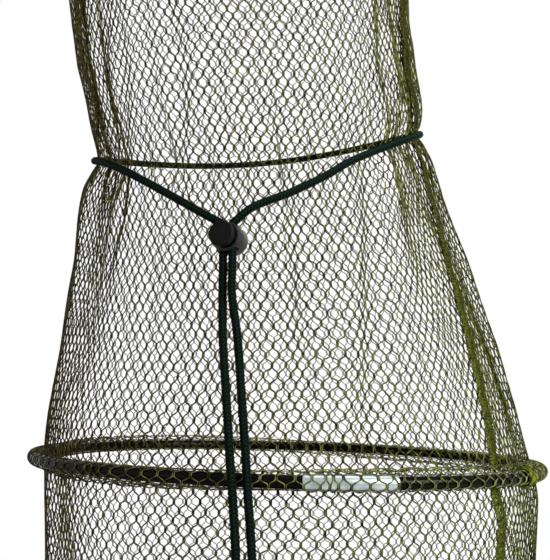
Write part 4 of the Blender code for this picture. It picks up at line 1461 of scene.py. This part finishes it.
@dataclass
class Seam:
    """The overlocked side seam: a flat band of twines under looped thread, with loose fibres.

    The routes give its azimuth by height above hoop 1.
    """

    shape: NetShape
    half_width: float = 0.0046
    lift: float = 0.0016
    spacing: float = 0.0006
    twines: int = 8
    twine: float = 0.00052
    twine_flat: float = 0.8
    twine_share: float = 0.85
    sways: tuple[Ripple, ...] = (Ripple(0.12, 0.0061, 2.3), Ripple(0.08, 0.0023, 1.0))
    relief: Ripple = Ripple(0.00015, 0.0037, 1.7)
    crown: float = 0.0005
    loops: Table = ((0.0, 1.15), (2.4, 0.95))
    loop_pitch: float = 0.0019
    loop_steps: int = 5
    loop_thread: float = 0.00030
    loop_rise: float = 0.0007
    loop_hump: float = 0.0005
    loop_tuck: float = 0.0003
    loop_lean: float = 0.0004
    fibre_spacing: float = 0.0004
    fibre_steps: int = 5
    fibre: float = 0.00014
    fibre_reach: tuple[float, float] = (0.0012, 0.0034)
    fibre_slope: float = 0.8
    fibre_lift: float = 0.8
    seed: int = 51
    waist_end: float = 0.2226
    mouth_margin: float = 0.006
    hoop_margin: float = 0.002
    hoop_2_margin: float = 0.004
    routes: Table = (
        (0.43, -29.0), (0.33, -26.5), (0.31, -26.0), (0.2686, -28.6), (0.2533, -28.2), (0.24, -25.5),
        (0.2226, -23.0), (0.2031, -25.4), (0.1923, -27.5), (0.1788, -28.8), (0.1678, -29.4),
        (0.1547, -30.8), (0.1399, -33.0), (0.125, -35.0), (0.0973, -37.4), (0.077, -39.6),
        (0.06, -40.6), (0.035, -41.1), (0.012, -41.3), (-0.0086, -45.5), (-0.0191, -44.7),
        (-0.0309, -43.3), (-0.05, -44.0), (-0.15, -42.0), (-0.26, -41.5), (-0.53, -41.5))

    def line(self, top: float, bottom: float) -> tuple[Array, Array, Array]:
        """The seam's middle line.

        Args:
            top: height above hoop 1.
            bottom: height above hoop 1.

        Returns:
            Its points, and the directions across and outward.
        """
        height = np.arange(top, bottom, -self.spacing)
        azimuth = np.radians(Profile(self.routes, 0.02).at(height))
        wobble = Wander(31, 0.0004, 3, 40.0)
        radius = self.shape.radius(azimuth, height) + self.lift + wobble.at(0.0 * height, height)
        points, outward = self.shape.at_azimuth(azimuth, height, radius)
        return points, *across_of(points, outward)

    def build_stretch(self, node: str, top: float, bottom: float, hold: Hold, palette: Palette,
                      seed: int) -> None:
        """Make one stretch of the seam.

        Args:
            node: the CAD node that it replaces.
            top: height above hoop 1.
            bottom: height above hoop 1.
            hold: what it moves with.
            palette: the finishes.
            seed: of its loose fibres.
        """
        line, across, outward = self.line(top, bottom)
        run = np.arange(len(line)) * self.spacing
        store = MeshStore()
        for twine in range(self.twines):
            place = (2.0 * twine / (self.twines - 1) - 1.0) * self.twine_share
            wave = sum(ripple.at(run, twine) for ripple in self.sways)
            rise = self.crown * (1.0 - place ** 2) + self.relief.at(run, twine)
            centres = line + across * (self.half_width * (place + wave))[:, None] + outward * rise[:, None]
            # The band twines take the darker seam finish: painted shade under the loops.
            store.add_tube(centres, across, outward, self.twine, 5, self.twine_flat, finish=1)
        self.add_loops(store, line, across, outward)
        self.add_fibres(store, line, across, outward, seed)
        publish(store.build(f"{node}_band", [palette.seam, palette.seam_painted_shade]), hold, Slot.SEAM, node)

    def add_loops(self, store: MeshStore, line: Array, across: Array, outward: Array) -> None:
        """Add the thread that loops over the band.

        Args:
            store: the seam's mesh.
            line: its middle.
            across: sideways directions.
            outward: outward directions.
        """
        places = np.linspace(0.0, len(line) - 1.0, (len(line) - 1) * self.loop_steps)
        index = np.arange(len(line))
        fine, side, out = (np.stack([np.interp(places, index, data[:, axis]) for axis in range(3)], axis=1)
                           for data in (line, across, outward))
        turn = TURN * places * self.spacing / self.loop_pitch
        for phase, width in self.loops:
            sway = width * self.half_width * np.sin(turn + phase)
            hump = self.loop_rise + self.loop_hump * np.cos(2.0 * (turn + phase))
            rise = hump - self.loop_tuck * np.abs(np.sin(turn + phase))
            lean = self.loop_lean * np.cos(turn + phase)
            centres = fine + side * sway[:, None] + out * (rise + 0.3 * lean)[:, None]
            store.add_tube(centres, *across_of(centres, out), self.loop_thread, 4)

    def add_fibres(self, store: MeshStore, line: Array, across: Array, outward: Array, seed: int) -> None:
        """Add loose fibres along the band's edges.

        Args:
            store: the seam's mesh.
            line: its middle.
            across: sideways directions.
            outward: outward directions.
            seed: of the random choice.
        """
        chance = np.random.default_rng(seed)
        steps = np.linspace(0.0, 1.0, self.fibre_steps)[:, None]
        for _ in range(int(len(line) * self.spacing / self.fibre_spacing)):
            at = chance.integers(1, len(line) - 1)
            side = chance.choice((-1.0, 1.0))
            reach = chance.uniform(*self.fibre_reach)
            slope = chance.uniform(-self.fibre_slope, self.fibre_slope)
            lift = chance.uniform(0.0, self.fibre_lift)
            along = unit(line[at + 1] - line[at - 1])
            root = line[at] + across[at] * side * (0.8 * self.half_width + reach * steps)
            bend = outward[at] * reach * lift * (steps - 0.6 * steps ** 2)
            centres = root + along * reach * slope * steps ** 2 + bend
            frames = across_of(centres, np.broadcast_to(outward[at], centres.shape))
            store.add_tube(centres, *frames, self.fibre, 3)

    def build(self, palette: Palette) -> None:
        """Make the seam's four stretches.

        Args:
            palette: the finishes.
        """
        spacing = self.shape.spacing
        ends = (
            ("seam_neck", self.shape.top - self.mouth_margin, self.waist_end, NECK_HOLD),
            ("seam_shoulder", self.waist_end, self.hoop_margin, SHOULDER_HOLD),
            ("seam_upper", -self.hoop_margin, self.hoop_2_margin - spacing, UPPER_HOLD),
            ("seam_lower", -self.hoop_2_margin - spacing, self.hoop_margin - 2.0 * spacing, LOWER_HOLD),
        )
        for place, (node, top, bottom, hold) in enumerate(ends):
            self.build_stretch(node, top, bottom, hold, palette, self.seed + place)


@dataclass
class Binding:
    """Seam twine wound over a hoop's sleeve where its ends are sewn together."""

    hoop: Hoop
    azimuth: float
    width: float = 0.011
    turns: int = 13
    steps: int = 14
    lift: float = 0.0016
    twine: float = 0.00062

    def build(self, palette: Palette) -> None:
        """Make the winding.

        Args:
            palette: the finishes.
        """
        share = np.linspace(0.0, 1.0, self.turns * self.steps)
        turn = TURN * self.turns * share
        sway = self.width * (share - 0.5) + Wander(41, 0.0008, 5, 3.0).at(turn * 0.4, share)
        azimuth = math.radians(self.azimuth) + sway / self.hoop.radius
        reach = self.hoop.rod_radius + self.lift + 0.0006 * np.sin(turn * 0.37) ** 2
        points = self.hoop.at(azimuth, self.hoop.radius + reach * np.cos(turn), reach * np.sin(turn))
        away = unit(points - self.hoop.at(azimuth, self.hoop.radius, 0.0))
        store = MeshStore()
        store.add_tube(points, *across_of(points, away), self.twine, 5)
        publish(store.build(f"{self.hoop.name}_binding", [palette.seam]), Ride(self.hoop.body), Slot.SEAM)


# Drawstring
@dataclass
class LockPlace:
    """Where the cord lock sits, turned and leaned, as in the CAD source."""

    centre: Point = (0.0031, -0.3000, -0.2795)
    lean: float = math.radians(-8.0)
    yaw: float = math.radians(-22.0)
    radius: float = 0.0085
    cord_spacing: float = 0.0058
    lead: float = 0.002
    slide: float = 0.025

    def frame(self) -> Matrix:
        """The lock's space, with the cords along its Z."""
        return (Matrix.Translation(self.centre) @ Matrix.Rotation(self.lean, 4, "X")
                @ Matrix.Rotation(self.yaw, 4, "Z"))

    def barrel(self) -> Matrix:
        """The barrel's space, with the button towards its Z."""
        return self.frame() @ Matrix.Rotation(QUARTER, 4, "X")

    def in_barrel(self, points: Array) -> Array:
        """Points of the barrel's space in the world."""
        matrix = np.array(self.barrel())
        return points @ matrix[:3, :3].T + matrix[:3, 3]

    def cord(self, side: float, height: float) -> Vector:
        """Centre of one cord at a height along its hole."""
        return self.frame() @ Vector((side * 0.5 * self.cord_spacing, 0.0, height))

    @property
    def cord_top(self) -> float:
        """Where the loop meets the tails, above the barrel."""
        return self.radius + self.lead


@dataclass
class Braid:
    """An eight-strand braid round a core, half its strands green and half black."""

    radius: float = 0.0026
    pitch: float = 0.0090
    strands: int = 4
    strand_width: float = 0.00086
    strand_flat: float = 0.46
    weave: float = 0.00028
    spacing: float = 0.00042
    core_share: float = 0.98
    core_steps: int = 4

    def add(self, store: MeshStore, line: Array) -> None:
        """Add the braid along a line.

        Args:
            store: the cord's mesh.
            line: close, even points.
        """
        side, other = carried_frames(line)
        run = np.arange(len(line)) * np.linalg.norm(line[1] - line[0])
        middle = self.radius - self.weave - self.strand_width * self.strand_flat
        core = slice(None, None, self.core_steps)
        store.add_tube(line[core], side[core], other[core], middle * self.core_share, 10, finish=1)
        crossing = math.pi * 2.0 * self.strands * run / self.pitch
        for finish, family in enumerate((1.0, -1.0)):
            for strand in range(self.strands):
                turn = family * TURN * run / self.pitch + TURN * strand / self.strands
                away = side * np.cos(turn)[:, None] + other * np.sin(turn)[:, None]
                centres = line + away * (middle + family * self.weave * np.cos(crossing))[:, None]
                store.add_tube(centres, *across_of(centres, away), self.strand_width, 5, self.strand_flat,
                               finish=finish)


@dataclass
class Drawstring:
    """The drawstring: the loop round the neck, its two tails and their knots.

    The points of its V and its tails are measured from hoop 1's centre.
    """

    layout: Layout
    shape: NetShape
    lock: LockPlace
    braid: Braid = field(default_factory=Braid)
    tie_radius: float = 0.1156
    tie_left: float = 211.0
    tie_right: float = -51.0
    tie_count: int = 14
    gap: float = 0.0003
    path_steps: int = 12
    knot_width: float = 0.00112
    knot_depth: float = 0.0017
    knot_drop: float = 0.0063
    knot_spacing: float = 0.0006
    stub_length: float = 0.0128
    left_v: Table = (
        (-0.0455, -0.1405, 0.1462), (-0.0600, -0.1285, 0.1560), (-0.0795, -0.1100, 0.1695),
        (-0.0940, -0.0945, 0.1795), (-0.1035, -0.0822, 0.1862))
    right_v: Table = (
        (-0.0200, -0.1415, 0.1520), (0.0010, -0.1315, 0.1622), (0.0214, -0.1198, 0.1743),
        (0.0364, -0.1082, 0.1853))
    left_tail: Table = (
        (-0.0365, -0.1560, 0.0750), (-0.0340, -0.1665, 0.0440), (-0.0318, -0.1748, 0.0160),
        (-0.0302, -0.1775, -0.0040), (-0.0285, -0.1782, -0.0300), (-0.0270, -0.1778, -0.0700),
        (-0.0258, -0.1785, -0.1100), (-0.0252, -0.1800, -0.1480))
    right_tail: Table = (
        (-0.0284, -0.1562, 0.0750), (-0.0258, -0.1668, 0.0440), (-0.0235, -0.1752, 0.0160),
        (-0.0222, -0.1780, -0.0040), (-0.0203, -0.1788, -0.0300), (-0.0182, -0.1784, -0.0700),
        (-0.0166, -0.1792, -0.1100), (-0.0158, -0.1810, -0.1560))
    tail_lengths: tuple[float, float] = (0.296, 0.304)

    def world(self, points: Table) -> list[Vector]:
        """Places measured from hoop 1's centre, in the world."""
        return [Vector(self.layout.hoop_1) + Vector(point) for point in points]

    def tie_point(self, azimuth: float) -> Vector:
        """Centre of the cord where it lies round the neck."""
        angle = np.array(azimuth)
        return Vector(self.shape.at_azimuth(angle, self.shape.waist(angle), self.tie_radius)[0])

    def cord_piece(self, store: MeshStore, node: str, hold: Hold, palette: Palette) -> Piece:
        """Make the piece of a braid.

        Args:
            store: the cord's mesh.
            node: the CAD node that it replaces.
            hold: what it moves with.
            palette: the finishes.

        Returns:
            The piece.
        """
        piece = store.build(f"{node}_braid", [palette.cord_green, palette.cord_black])
        return publish(piece, hold, Slot.CORD, node)

    def build_loop(self, palette: Palette) -> None:
        """Make the loop from the lock round the neck and back.

        Args:
            palette: the finishes.
        """
        azimuths = np.radians(np.linspace(self.tie_left, self.tie_right, self.tie_count + 1))
        route = [self.lock.cord(-1.0, self.lock.radius), *self.world(self.left_v)]
        route += [self.tie_point(azimuth) for azimuth in azimuths]
        route += [*self.world(self.right_v[::-1]), self.lock.cord(1.0, self.lock.radius)]
        line = smooth_line(route, route[0] * 2.0 - route[1], route[-1] * 2.0 - route[-2], self.braid.spacing)
        store = MeshStore()
        self.braid.add(store, line)
        self.cord_piece(store, "drawstring_loop", Ride(Body.NECK_TIE), palette)

    def build_tail(self, name: str, side: float, route: Table, palette: Palette) -> None:
        """Make a tail, from the top of the lock through it and down over hoop 1, with its knot.

        Args:
            name: left or right.
            side: -1 or 1.
            route: its points from below the lock.
            palette: the finishes.
        """
        top, bottom = self.lock.cord_top, -self.lock.radius - self.lock.slide
        points = [self.lock.cord(side, height) for height in (top - self.gap, 0.0, 0.5 * bottom, bottom)]
        points += self.world(route)
        line = smooth_line(points, self.lock.cord(side, top + self.lock.lead), points[-1] * 2.0 - points[-2],
                           self.braid.spacing)
        knot = self.build_knot(name, Vector(line[-1]), palette)
        store = MeshStore()
        self.braid.add(store, line)
        piece = self.cord_piece(store, f"drawstring_tail_{name}", TAIL_HOLD, palette)
        tuple(self.lock.cord(side, -self.lock.radius))

    def build_knot(self, name: str, end: Vector, palette: Palette) -> Piece:
        """Make the overhand knot at a tail's end, with the cut end below it.

        Args:
            name: left or right.
            end: the tail's last point.
            palette: the finishes.

        Returns:
            The knot.
        """
        turn, width = np.linspace(0.0, TURN, 90), self.knot_width
        knot = np.stack((width * (np.sin(turn) + 2.0 * np.sin(2.0 * turn)),
                         self.knot_depth * np.sin(3.0 * turn),
                         width * 0.92 * (np.cos(turn) - 2.0 * np.cos(2.0 * turn))), axis=1)
        line = even_line(knot + np.array((end.x, end.y, end.z - self.knot_drop)), self.knot_spacing)
        store = MeshStore()
        self.braid.add(store, line)
        stub = np.array([(end.x, end.y, end.z - depth) for depth in np.linspace(0.0, self.stub_length, 24)])
        store.add_tube(stub, *carried_frames(stub), 0.9 * self.braid.radius, 10, finish=1)
        return self.cord_piece(store, f"tail_knot_{name}", Ride(Body.HOOP_1), palette)

    def build(self, palette: Palette) -> None:
        """Make the loop and the tails.

        Args:
            palette: the finishes.
        """
        self.build_loop(palette)
        self.build_tail("left", -1.0, self.left_tail, palette)
        self.build_tail("right", 1.0, self.right_tail, palette)


# Cord lock
@dataclass
class CordLock:
    """The push-button cord lock: barrel, button with its stem, and spring."""

    place: LockPlace
    front: float = 0.0042
    back: float = 0.0102
    rim: float = 0.0014
    edge: float = 0.0006
    small_edge: float = 0.0003
    bore: float = 0.0068
    floor: float = 0.0015
    stem_radius: float = 0.0064
    stem_back: float = 0.0042
    button_radius: float = 0.0073
    button_height: float = 0.0037
    button_base: float = 0.0070
    button_edge: float = 0.0007
    button_dish: float = 0.0004
    button_lip: float = 0.0002
    travel: float = 0.0025
    cord_radius: float = 0.00235
    hole_clearance: float = 0.00045
    slot_margin: float = 0.004
    sharp: float = math.radians(38.0)
    spring_radius: float = 0.0042
    spring_wire: float = 0.0003
    spring_gap: float = 0.0003
    spring_turns: int = 3
    steps: int = 72

    def turned(self, name: str, outline: Table, material: Material) -> Piece:
        """A shape turned about the barrel's axis.

        Args:
            name: the object's name.
            outline: radius and height along the axis, from the front to the back.
            material: its finish.

        Returns:
            The object.
        """
        angles = TURN * np.arange(self.steps) / self.steps
        rings = np.array([[(max(radius, 1e-5) * math.cos(angle), max(radius, 1e-5) * math.sin(angle), height)
                           for angle in angles] for radius, height in outline])
        store = MeshStore()
        store.add_rings(self.place.in_barrel(rings)[:, ::-1], closed=True)
        return store.build(name, [material])

    def cut_slot(self, piece: Piece, low: float) -> None:
        """Cut the slot for the two cords.

        Args:
            piece: the barrel or the stem.
            low: how far the slot reaches towards the front.
        """
        hole = self.cord_radius + self.hole_clearance
        wide, tall = 0.5 * self.place.cord_spacing + hole, self.place.radius + self.slot_margin
        corners = [Vector((x, y, z)) for x in (-wide, wide) for y in (low, hole) for z in (-tall, tall)]
        faces = ((0, 1, 3, 2), (4, 6, 7, 5), (0, 4, 5, 1), (2, 3, 7, 6), (0, 2, 6, 4), (1, 5, 7, 3))
        mesh = bpy.data.meshes.new("slot_cutter")
        mesh.from_pydata([tuple(self.place.frame() @ corner) for corner in corners], [], faces)
        mesh.materials.append(piece.data.materials[0])
        cutter = placed("slot_cutter", mesh)
        modifier = piece.modifiers.new("slot", "BOOLEAN")
        modifier.operation, modifier.solver, modifier.object = "DIFFERENCE", "EXACT", cutter
        bpy.context.view_layer.update()
        cut = bpy.data.meshes.new_from_object(piece.evaluated_get(bpy.context.evaluated_depsgraph_get()))
        piece.modifiers.clear()
        piece.data = cut
        piece.data.set_sharp_from_angle(angle=self.sharp)
        bpy.data.objects.remove(cutter, do_unlink=True)

    def build(self, palette: Palette) -> None:
        """Make the lock's pieces.

        Args:
            palette: the finishes.
        """
        hole = self.cord_radius + self.hole_clearance
        self.build_barrel(hole, palette)
        self.build_button(hole, palette)
        self.build_spring(palette)

    def build_barrel(self, hole: float, palette: Palette) -> None:
        """Make the barrel, open at the front.

        Args:
            hole: radius of the cords' hole.
            palette: the finishes.
        """
        radius, rim, edge, small, front = self.place.radius, self.rim, self.edge, self.small_edge, self.front
        floor = self.floor - self.back
        barrel = self.turned("cord_lock_barrel", (
            (0.0, floor), (self.bore, floor), (self.bore, front - small), (self.bore + small, front),
            (radius - edge, front), (radius - 0.3 * edge, front - 0.3 * edge), (radius, front - edge),
            (radius, rim - self.back), (radius - 0.3 * rim, 0.3 * rim - self.back),
            (radius - rim, -self.back), (0.0, -self.back)), palette.moulding)
        self.cut_slot(barrel, -hole)
        publish(barrel, Ride(Body.CORD_LOCK), Slot.MOULDING, "cord_lock_body")

    def build_button(self, hole: float, palette: Palette) -> None:
        """Make the button with its stem.

        Args:
            hole: radius of the cords' hole.
            palette: the finishes.
        """
        wide, narrow, back, base = self.button_radius, self.stem_radius, self.stem_back, self.button_base
        end, edge, small = base + self.button_height, self.button_edge, self.small_edge
        button = self.turned("cord_lock_button", (
            (0.0, -back), (narrow - small, -back), (narrow, small - back), (narrow, base),
            (wide - self.button_lip, base), (wide, base + self.button_lip), (wide, end - edge),
            (wide - 0.12 * edge, end - 0.5 * edge), (wide - 0.5 * edge, end - 0.12 * edge),
            (wide - edge, end), (wide - 1.6 * edge, end - 0.0001), (0.5 * wide, end - 0.00035),
            (0.0, end - self.button_dish)), palette.button)
        self.cut_slot(button, -hole - self.travel)
        publish(button, Ride(Body.LOCK_BUTTON), Slot.MOULDING, "cord_lock_plunger")

    def build_spring(self, palette: Palette) -> None:
        """Make the spring, coiled between the barrel's floor and the stem.

        Args:
            palette: the finishes.
        """
        low = self.floor - self.back + self.spring_wire + self.spring_gap
        high = -self.stem_back - self.spring_wire - self.spring_gap
        turn = np.linspace(0.0, TURN * self.spring_turns, 32 * self.spring_turns)
        coil = np.stack((self.spring_radius * np.cos(turn), self.spring_radius * np.sin(turn),
                         np.linspace(low, high, len(turn))), axis=1)
        line = self.place.in_barrel(coil)
        store = MeshStore()
        store.add_tube(line, *carried_frames(line), self.spring_wire, 8)
        piece = store.build("cord_lock_coil", [palette.steel])
        publish(piece, Ride(Body.CORD_LOCK), Slot.STEEL, "cord_lock_spring")
        axis = self.place.barrel().to_3x3() @ Vector((0.0, 0.0, 1.0))
        anchor = self.place.barrel() @ Vector((0.0, 0.0, low - self.spring_wire))
        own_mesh(piece)


# Stand
class Stand:
    """The stand block with its cap, screws and stud, whose CAD shapes stay."""

    def dress(self, palette: Palette) -> None:
        """Give the CAD nodes their finishes.

        Args:
            palette: the finishes.
        """
        for node, material in (("stand_block", palette.moulding), ("block_cap", palette.moulding),
                               ("block_screw_upper", palette.steel), ("block_screw_lower", palette.steel),
                               ("stand_stud", palette.brass)):
            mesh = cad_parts[node].data
            mesh.materials.clear()
            mesh.materials.append(material)
            LOG.info("%s: %d faces of the frame", node, len(mesh.polygons))


# Studio
@dataclass(frozen=True)
class Lamp:
    """A soft square lamp."""

    name: str
    place: Point
    target: Point
    size: float
    power: float
    colour: Colour = EVEN

    def build(self) -> None:
        """Make the lamp and aim it."""
        data = bpy.data.lights.new(self.name, "AREA")
        data.shape = "SQUARE"
        data.size, data.energy, data.color = self.size, self.power, self.colour
        lamp = placed(self.name, data)
        lamp.location = self.place
        lamp.rotation_euler = (Vector(self.target) - Vector(self.place)).to_track_quat("-Z", "Y").to_euler()


@dataclass
class Studio:
    """Camera, lamps, floor and white surround."""

    camera_place: Point = (0.0296, -0.8540, -0.3647)
    pitch: float = math.radians(6.32)
    focal_pixels: float = 993.0
    frame_pixels: float = 560.0
    sensor: float = 36.0
    clip: tuple[float, float] = (0.02, 20.0)
    floor_radius: float = 1.6
    floor_height: float = -0.9445
    floor_sides: int = 96
    floor_rings: Point = (0.25, 0.6, 1.0)
    ambient: float = 0.16
    middle: Point = (0.03, -0.154, -0.43)
    lamps: tuple[Lamp, ...] = (
        Lamp("lamp_right", (1.35, -0.95, 0.25), (0.03, -0.154, -0.38), 0.8, 44.0, (1.0, 0.99, 0.93)),
        Lamp("lamp_left", (-1.5, -1.1, 0.1), (0.03, -0.154, -0.43), 1.2, 3.0),
        Lamp("lamp_top", (0.3, 0.1, 1.6), (0.03, -0.154, -0.48), 1.2, 12.0),
        Lamp("lamp_back", (0.6, 1.5, 0.1), (0.03, -0.154, -0.43), 1.2, 9.0),
    )

    def build_camera(self) -> None:
        """Make the camera at the photograph's place."""
        data = bpy.data.cameras.new("camera")
        data.sensor_fit = "AUTO"
        data.sensor_width = self.sensor
        data.lens = self.focal_pixels * self.sensor / self.frame_pixels
        data.clip_start, data.clip_end = self.clip
        camera = placed("camera", data)
        camera.location = self.camera_place
        camera.rotation_euler = (QUARTER + self.pitch, 0.0, 0.0)
        bpy.context.scene.camera = camera

    def build_world(self) -> None:
        """Make the surround: white where the camera sees it, softer where it only lights."""
        world = bpy.data.worlds.new("surround")
        bpy.context.scene.world = world
        world.use_nodes = True
        tree = world.node_tree
        tree.nodes.clear()
        path = tree.nodes.new("ShaderNodeLightPath")
        seen, unseen = tree.nodes.new("ShaderNodeBackground"), tree.nodes.new("ShaderNodeBackground")
        seen.inputs["Color"].default_value = (1.0, 1.0, 1.0, 1.0)
        seen.inputs["Strength"].default_value = 1.0
        unseen.inputs["Color"].default_value = (0.97, 0.98, 1.0, 1.0)
        unseen.inputs["Strength"].default_value = self.ambient
        mix = tree.nodes.new("ShaderNodeMixShader")
        output = tree.nodes.new("ShaderNodeOutputWorld")
        shown = path.outputs["Is Camera Ray"]
        for ray in ("Is Glossy Ray", "Is Transmission Ray"):
            larger = tree.nodes.new("ShaderNodeMath")
            larger.operation = "MAXIMUM"
            tree.links.new(shown, larger.inputs[0])
            tree.links.new(path.outputs[ray], larger.inputs[1])
            shown = larger.outputs["Value"]
        tree.links.new(shown, mix.inputs["Fac"])
        tree.links.new(unseen.outputs["Background"], mix.inputs[1])
        tree.links.new(seen.outputs["Background"], mix.inputs[2])
        tree.links.new(mix.outputs["Shader"], output.inputs["Surface"])

    def build_floor(self, material: Material) -> None:
        """Make the pale floor under the net.

        Args:
            material: its finish.
        """
        angles = TURN * np.arange(self.floor_sides) / self.floor_sides
        radii = np.array((TIP, *(share * self.floor_radius for share in self.floor_rings)))
        rings = np.stack((self.middle[0] + radii[:, None] * np.cos(angles),
                          self.middle[1] + radii[:, None] * np.sin(angles),
                          np.full((len(radii), len(angles)), self.floor_height)), axis=-1)
        store = MeshStore()
        store.add_rings(rings[:, ::-1])
        store.build("floor", [material])

    def build(self, palette: Palette) -> None:
        """Make the studio.

        Args:
            palette: the finishes.
        """
        bpy.context.scene.view_settings.view_transform = "Standard"
        self.build_camera()
        self.build_world()
        self.build_floor(palette.floor)
        for lamp in self.lamps:
            lamp.build()
        LOG.info("studio: %d lamps", len(self.lamps))


def main() -> None:
    """Build the keep net's looks and its studio."""
    logging.basicConfig(level=logging.INFO, format="%(message)s")
    palette = Palette()
    Studio().build(palette)
    shape = NetShape(LAYOUT)
    lock = LockPlace()
    Drawstring(LAYOUT, shape, lock).build(palette)
    CordLock(lock).build(palette)
    Netting(LAYOUT, shape, Mesh()).build(palette)
    ferrules = LAYOUT.ferrule_azimuths
    hoops = (
        Hoop("mouth_hoop", Body.MOUTH, LAYOUT.mouth, LAYOUT.mouth_radius, LAYOUT.mouth_net_radius, 90.0,
             has_ferrule=False, window=0.138, seed=23, sleeve_node="mouth_sleeve"),
        Hoop("hoop_1", Body.HOOP_1, LAYOUT.hoop_1, LAYOUT.hoop_radius, LAYOUT.net_radius, ferrules[0],
             LAYOUT.hoop_1_tilt),
        Hoop("hoop_2", Body.HOOP_2, LAYOUT.hoop_2, LAYOUT.hoop_radius, LAYOUT.net_radius, ferrules[1],
             seed=27),
        Hoop("hoop_3", Body.HOOP_3, LAYOUT.hoop_3, LAYOUT.hoop_radius, LAYOUT.base_net_radius, ferrules[2],
             seed=29),
    )
    for hoop in hoops:
        hoop.build(palette)
    Seam(shape).build(palette)
    Binding(hoops[1], -33.0).build(palette)
    Stand().dress(palette)


if __name__ == "__main__":
    main()
